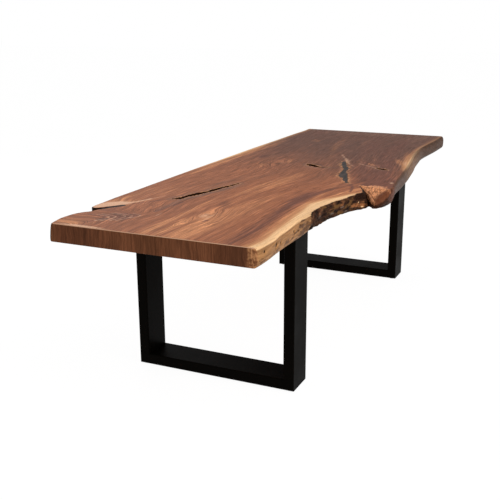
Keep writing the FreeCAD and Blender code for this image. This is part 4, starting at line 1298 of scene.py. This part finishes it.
def mark_wood(maker, mesh):
    """Write what the walnut finish needs to know at each point: grain, figure, edges, damage, and where shade
    and highlights are painted.
    """
    points = np.array([vertex.co for vertex in mesh.vertices])
    x, y, z = points.T
    side = np.array(maker.skin.side)
    on_top, on_front = 1 - side, side * (y < 0)
    level = z > TABLETOP - SKIN_DEPTH
    knot, stations = maker.knot, maker.stations
    top = stations[:, TOP]
    front = top[maker.natural & (top[:, 1] < 0)]
    rear = top[maker.natural & (top[:, 1] > 0)]
    wall = np.arange(len(points)) < len(stations) * SIDE_RINGS
    station = np.arange(len(points)) % len(stations)
    past_fissure = stations[station, PAST_FISSURE] > 0.5

    # Figure of the top and of the front edge
    marks = {name: np.zeros(len(points)) for name in ("curl", "amber", "cream", "dusk", "grey")}
    marks["side"] = side
    for *spot, strength in CURLS:
        marks["curl"] += strength * bell(x, y, *spot)
    for table, up, where in ((FIGURE, y, on_top), (EDGE_FIGURE, z, on_front)):
        for tone, spots in table.items():
            for *spot, strength in spots:
                marks[tone] += strength * bell(x, up, *spot) * where
    for tone, half_width, strength, places in FIGURE_LINES + nested_lines():
        marks[tone] += strength * fading(line_gap(points, places), half_width) * on_top

    # Sapwood, natural edges and bark
    from_front = lookup(x, FRONT_SAPWOOD) - nearest(points, front)
    from_rear = lookup(x, REAR_SAPWOOD) - nearest(points, rear)
    marks["sapwood"] = np.maximum(from_front, from_rear)
    marks["pale_edge"] = np.where(y < 0, lookup(x, PALE_FRONT), lookup(x, PALE_REAR))
    barked = wall & (maker.bark[station] > 0)
    marks["bark"] = barked * np.interp(x, [-0.91, -0.80], [0, 1]) * np.clip(side * 1.6 - 0.6, 0, 1)

    # The knot's flank, painted shade over its lower right, and its freshly broken wood
    marks["knot"] = wall * maker.knotty[station] * side
    marks["knot_painted_shade"] = 2.4 * bell(x, y, -0.374, -0.506, 0.050, 0.036)
    behind = knot.distance(x, y)
    scraped = np.clip(1 + behind / 0.09, 0, 1) * np.sin(np.pi * np.clip(knot.beside(x, y) / 0.17, 0, 1))
    nose = wall & past_fissure & (y < -0.36) & (x > -0.41) & (x < -0.28)
    under_rim = TABLETOP - knot.drop(x, y) - z
    fresh_band = np.interp(under_rim, [0.003, 0.026], [1, 0]) * np.interp(x, [-0.32, -0.28], [1, 0])
    marks["facet"] = np.maximum.reduce([
        (knot.covers(x, y) & (z > 0.69)) * on_top,
        ((behind < 0) & level) * 0.9 * scraped * on_top,
        (nose & (y > -0.47)) * np.interp(z, [0.688, 0.704], [0, 1]),
        nose * fresh_band,
    ])

    # Painted shade in the fissure, the split, a recess in the near edge, along the seams and in the worm
    # holes
    near_side = wall & ~past_fissure
    from_tip = np.hypot(x - FISSURE[0], y - FISSURE[1])
    in_fissure = near_side & (side > 0.3) & (x > -0.415) & (from_tip < 0.13) & (y > -0.45)
    in_split = wall & (side > 0.3) & (np.hypot(x - SPLIT[0], y - SPLIT[1]) < 0.14)
    recess = near_side & (side > 0.5) & (y < 0)
    painted_shade = [0.8 * in_fissure, 0.9 * in_split, 1.2 * recess * bell(x, z, -0.42, 0.738, 0.07, 0.016)]
    for half_width, strength, places in SEAMS:
        painted_shade.append(level * strength * fading(line_gap(points, places), half_width))
    for along, height, radius in WORM_HOLES:
        painted_shade.append(1.05 * on_front * bell(x, z, along, height, radius, radius))
    marks["painted_shade"] = np.maximum.reduce(painted_shade)

    # Grey stain round the openings, and a pale rim along their lips as a painted highlight
    crack_gap, void_gap = nearest(points, maker.crack_rim), nearest(points, maker.void_rim)
    marks["halo"] = level * (fading(crack_gap, 0.03) + 0.5 * fading(void_gap, 0.025))
    marks["rim"] = level * (fading(crack_gap, 0.007) + 1.2 * fading(void_gap, 0.008))

    for name, values in marks.items():
        layer = mesh.attributes.new(name, "FLOAT", "POINT")
        layer.data.foreach_set("value", np.asarray(values, np.float32))
    grain = np.column_stack([x, grain_across(x, y, front, rear), z - TABLETOP]).astype(np.float32)
    layer = mesh.attributes.new("grain", "FLOAT_VECTOR", "POINT")
    layer.data.foreach_set("vector", grain.ravel())


class PLANK_OT_slab(bpy.types.Operator):
    """Make the live-edge slab."""

    bl_idname = "plank.slab"
    bl_label = "Slab"

    def execute(self, context):
        maker = SlabMaker(context.scene.plank_slab)
        maker.make()
        colours = context.scene.plank_colours
        materials = [walnut(colours), end_grain(colours), crack_wood(colours)]
        slab = maker.skin.build("walnut_slab", materials, "walnut", "live_edge_slab")
        mark_wood(maker, slab.data)
        return {"FINISHED"}


class PLANK_OT_filling(bpy.types.Operator):
    """Make the filling of the void beside the knot."""

    bl_idname = "plank.filling"
    bl_label = "Void filling"

    def execute(self, context):
        depth = context.scene.plank_slab.resin_depth
        skin = Skin()
        loop = offset(ragged_void(), -RESIN_GAP)[::-1]
        levels = ((-0.0001, depth - 0.0002), (-0.0001, 0.0006), (-0.0004, 0.0003))
        rings = skin.stack([skin.flat(offset(loop, outset), TABLETOP - deep) for outset, deep in levels])
        low, high = np.min(loop, axis=0), np.max(loop, axis=0)
        steps = [np.arange(start, stop, 0.008) for start, stop in zip(low, high)]
        grid = [(x, y, 0.003) for x in steps[0] for y in steps[1]]
        fill(skin, rings[-1], [], grid, sunk_surface, True, smooth=True)
        fill(skin, rings[0], [], [], None, False)
        skin.build("void_filling", [filling(context.scene.plank_colours)], "resin", "knot_void_resin")
        return {"FINISHED"}


def sunk_surface(x, y):
    """Height of the filling: it shrank a little as it set."""
    return TABLETOP - 0.0006 - 0.0002 * rumple(np.column_stack([x, y]), 0, 0.03)


def give_finish(node, material):
    """Coat a piece that stays as the frame has it."""
    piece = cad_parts[node]
    for holder in piece.material_slots:
        holder.material = material


class PLANK_OT_legs(bpy.types.Operator):
    """Coat the hoops' tubes and top plates."""

    bl_idname = "plank.legs"
    bl_label = "Hoop legs"

    def execute(self, context):
        coat = powder_coat(context.scene.plank_colours)
        for side in SIDES:
            for part in ("front_upright", "rear_upright", "floor_rail", "top_plate"):
                give_finish(f"{side}_leg_{part}", coat)
        return {"FINISHED"}


class PLANK_OT_welds(bpy.types.Operator):
    """Make the rippled weld beads under the top plates."""

    bl_idname = "plank.welds"
    bl_label = "Welds"

    def execute(self, context):
        coat = bpy.data.materials["powder coat"]
        for side in SIDES:
            node = f"{side}_leg_plate_welds"
            low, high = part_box(node)
            skin = Skin()
            leg = high.z - low.z
            for edge, inwards in ((low.y, 1), (high.y, -1)):
                self.bead(skin, low.x, high.x, edge, inwards, high.z, leg)
            skin.build(f"{side}_weld_beads", [coat], "powder_coat", node)
        return {"FINISHED"}

    def bead(self, skin, start, stop, edge, inwards, plate, leg):
        """One bead along the corner between plate and upright."""
        ripple = 0.0045
        rings = []
        for x in np.linspace(start, stop, round((stop - start) / ripple * 5)):
            phase = (x - start) / ripple
            uneven = 0.04 * noise.noise(Vector((x * 300, edge, 0)))
            swell = 0.80 + 0.16 * abs(math.sin(math.pi * phase)) + uneven
            fade = min(1.0, 0.45 + min(x - start, stop - x) / 0.006)
            section = [(0, 0)]
            for angle in np.radians([0, 22, 45, 68, 90]):
                reach = leg * swell * fade * (0.78 + 0.22 * abs(math.cos(2 * angle)))
                section.append((reach * math.cos(angle), reach * math.sin(angle)))
            ring = [(x, edge + inwards * out, plate - down) for out, down in section]
            rings.append(skin.ring(ring if inwards > 0 else ring[::-1]))
        skin.stack(rings)
        skin.face(rings[0][::-1], smooth=False)
        skin.face(rings[-1], smooth=False)


def leg_sets(kind, make, material, slot, holder, radius, rows):
    """Replace each hoop's node of one kind by one piece, made anew at every place in the holder's node."""
    for side in SIDES:
        node = f"{side}_leg_{kind}s"
        low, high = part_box(node)
        skin = Skin()
        for place in grid_places(f"{side}_leg_{holder}", radius, rows):
            make(skin, (*place, low.z), high.z - low.z)
        skin.build(f"{side}_{kind}_set", [material], slot, node)


def bolt(skin, foot, length):
    """One bolt, head down: chamfered hexagon, washer face and rolled thread."""
    flats, head, pitch, major = 0.013, 0.0053, 0.00125, 0.004
    shank = length - head - 0.001

    def hexagon(angle):
        return flats / 2 / math.cos((angle + math.pi / 6) % (math.pi / 3) - math.pi / 6)

    def thread(rise):
        def reach(angle):
            wave = abs((rise / pitch - angle / math.tau) % 1.0 - 0.5) * 2
            return major - (0.0006 * wave if rise > 0.002 else 0.0)
        return reach

    profile = [(flats * 0.45, 0), (hexagon, 0.0011), (hexagon, head - 0.0004), (flats * 0.48, head - 0.0002)]
    profile.append((major, head))
    profile += [(thread(rise), head + rise) for rise in np.linspace(0, shank, round(shank / pitch * 4))]
    profile.append((0.003, length))
    skin.close(skin.turned(foot, profile, sides=24), foot, 0.0003, length)


class PLANK_OT_bolts(bpy.types.Operator):
    """Make the hex head bolts."""

    bl_idname = "plank.bolts"
    bl_label = "Bolts"

    def execute(self, context):
        zinc = metal("zinc plate", context.scene.plank_colours.zinc, 0.34, (300, 300, 30))
        leg_sets("bolt", bolt, zinc, "zinc_steel", "inserts", FLANGE_RADIUS, BOLT_ROWS)
        return {"FINISHED"}


def washer(skin, foot, thick):
    """One wide washer with softened edges."""
    radius, bore, soft = WASHER_RADIUS, 0.0044, 0.0004
    profile = [
        (bore, soft), (bore + soft, 0), (radius - soft, 0), (radius, soft),
        (radius, thick - soft), (radius - soft, thick), (bore + soft, thick), (bore, thick - soft),
    ]
    rings = skin.turned(foot, profile, sides=40)
    skin.bridge(rings[-1], rings[0])


class PLANK_OT_washers(bpy.types.Operator):
    """Make the wide washers under the bolt heads."""

    bl_idname = "plank.washers"
    bl_label = "Washers"

    def execute(self, context):
        zinc = metal("zinc washer", context.scene.plank_colours.zinc, 0.4, (260, 40, 260))
        leg_sets("washer", washer, zinc, "zinc_steel", "washers", WASHER_RADIUS, BOLT_ROWS)
        return {"FINISHED"}


class PLANK_OT_inserts(bpy.types.Operator):
    """Finish the threaded inserts."""

    bl_idname = "plank.inserts"
    bl_label = "Threaded inserts"

    def execute(self, context):
        brass = metal("brass", context.scene.plank_colours.brass, 0.32, (60, 60, 700))
        for side in SIDES:
            give_finish(f"{side}_leg_inserts", brass)
        return {"FINISHED"}


def glide(skin, foot, thick):
    """One glide: rounded below, with a shallow ring groove, and flat against the rail."""
    radius, soft = GLIDE_RADIUS, 0.0016
    profile = [(radius * 0.35, 0), (radius * 0.42, 0.0004), (radius * 0.50, 0.0004), (radius * 0.56, 0)]
    for angle in ARRIS_ANGLES:
        profile.append((radius - soft + soft * math.sin(angle), soft * (1 - math.cos(angle))))
    profile += [(radius, thick - 0.0003), (radius - 0.0003, thick)]
    skin.close(skin.turned(foot, profile, sides=36), foot, 0, thick)


class PLANK_OT_glides(bpy.types.Operator):
    """Make the rounded floor glides."""

    bl_idname = "plank.glides"
    bl_label = "Floor glides"

    def execute(self, context):
        plastic = moulded_plastic(context.scene.plank_colours)
        leg_sets("glide", glide, plastic, "glide_plastic", "glides", GLIDE_RADIUS, GLIDE_ROWS)
        return {"FINISHED"}


class PLANK_OT_stage(bpy.types.Operator):
    """Set up the floor, the lights and the camera."""

    bl_idname = "plank.stage"
    bl_label = "Stage"

    def execute(self, context):
        settings = context.scene.plank_stage
        self.floor(settings)
        self.sky(context.scene, settings)
        self.lamp("main lamp", (-1.4, -3.4, 3.3), 2.6, settings.key)
        self.lamp("second lamp", (1.8, 2.6, 3.4), 3.0, settings.fill)
        self.camera(context.scene)
        context.scene.view_settings.view_transform = "Standard"
        return {"FINISHED"}

    def floor(self, settings):
        reach = 30.0
        corners = [(-reach, -reach, 0), (reach, -reach, 0), (reach, reach, 0), (-reach, reach, 0)]
        mesh = bpy.data.meshes.new("floor")
        mesh.from_pydata(corners, [], [(0, 1, 2, 3)])
        f = Finish("floor", roughness=0.9, specular=0.0)
        f.colour(f.shade(settings.floor, f.noise(f.place(), (3, 3, 3), 3.0), 0.3, 0.7, 0.985, 1.015))
        rays = ("Is Camera Ray", "Is Glossy Ray", "Is Transmission Ray")
        f.whiten(f.shader.outputs["BSDF"], "Emission", 1.05, 0.9, *rays)
        mesh.materials.append(f.material)
        new_object("floor", mesh)

    def sky(self, scene, settings):
        world = bpy.data.worlds.new("soft light")
        scene.world = world
        world.use_nodes = True
        tree = Nodes(world.node_tree, "World")
        soft = tree.node("Background", {"Color": (1, 1, 1), "Strength": settings.sky})
        tree.whiten(soft, "Background", 1.0, 1.0, "Is Camera Ray", "Is Transmission Ray")

    def lamp(self, name, place, size, power):
        light = bpy.data.lights.new(name, "AREA")
        light.shape = "DISK"
        light.size = size
        light.energy = power
        lamp = new_object(name, light)
        lamp.location = place
        aim = Vector((0, 0, TABLETOP)) - Vector(place)
        lamp.rotation_euler = aim.to_track_quat("-Z", "Y").to_euler()

    def camera(self, scene):
        lens = bpy.data.cameras.new("camera")
        lens.lens = CAMERA_LENS
        lens.sensor_width = SENSOR_WIDTH
        lens.clip_end = CAMERA_REACH
        camera = new_object("camera", lens)
        placed = Matrix.Translation(CAMERA_PLACE)
        quarter = math.pi / 2
        for angle, axis in ((CAMERA_YAW - quarter, "Z"), (CAMERA_PITCH + quarter, "X"), (CAMERA_ROLL, "Z")):
            placed = placed @ Matrix.Rotation(angle, 4, axis)
        camera.matrix_world = placed
        scene.camera = camera


class PLANK_PT_panel(bpy.types.Panel):
    """Lists the table's pieces, sizes and colours."""

    bl_idname = "PLANK_PT_panel"
    bl_label = "Plank table"
    bl_space_type = "VIEW_3D"
    bl_region_type = "UI"
    bl_category = "Plank table"

    def draw(self, context):
        layout = self.layout
        for operator in OPERATORS:
            layout.operator(operator.bl_idname)
        for settings in (context.scene.plank_slab, context.scene.plank_colours, context.scene.plank_stage):
            box = layout.box()
            for name in settings.__annotations__:
                box.prop(settings, name)


OPERATORS = (
    PLANK_OT_slab,
    PLANK_OT_filling,
    PLANK_OT_legs,
    PLANK_OT_welds,
    PLANK_OT_bolts,
    PLANK_OT_washers,
    PLANK_OT_inserts,
    PLANK_OT_glides,
    PLANK_OT_stage,
)
SETTINGS = {
    "plank_slab": PlankSlabSizes,
    "plank_colours": PlankColours,
    "plank_stage": PlankStageSettings,
}


def register():
    for group in SETTINGS.values():
        bpy.utils.register_class(group)
    for name, group in SETTINGS.items():
        setattr(bpy.types.Scene, name, bpy.props.PointerProperty(type=group))
    for operator in OPERATORS:
        bpy.utils.register_class(operator)
    bpy.utils.register_class(PLANK_PT_panel)


def unregister():
    bpy.utils.unregister_class(PLANK_PT_panel)
    for operator in reversed(OPERATORS):
        bpy.utils.unregister_class(operator)
    for name in SETTINGS:
        delattr(bpy.types.Scene, name)
    for group in SETTINGS.values():
        bpy.utils.unregister_class(group)


def main():
    register()
    bpy.ops.plank.slab()
    bpy.ops.plank.filling()
    bpy.ops.plank.legs()
    bpy.ops.plank.welds()
    bpy.ops.plank.bolts()
    bpy.ops.plank.washers()
    bpy.ops.plank.inserts()
    bpy.ops.plank.glides()
    bpy.ops.plank.stage()


if __name__ == "__main__":
    main()
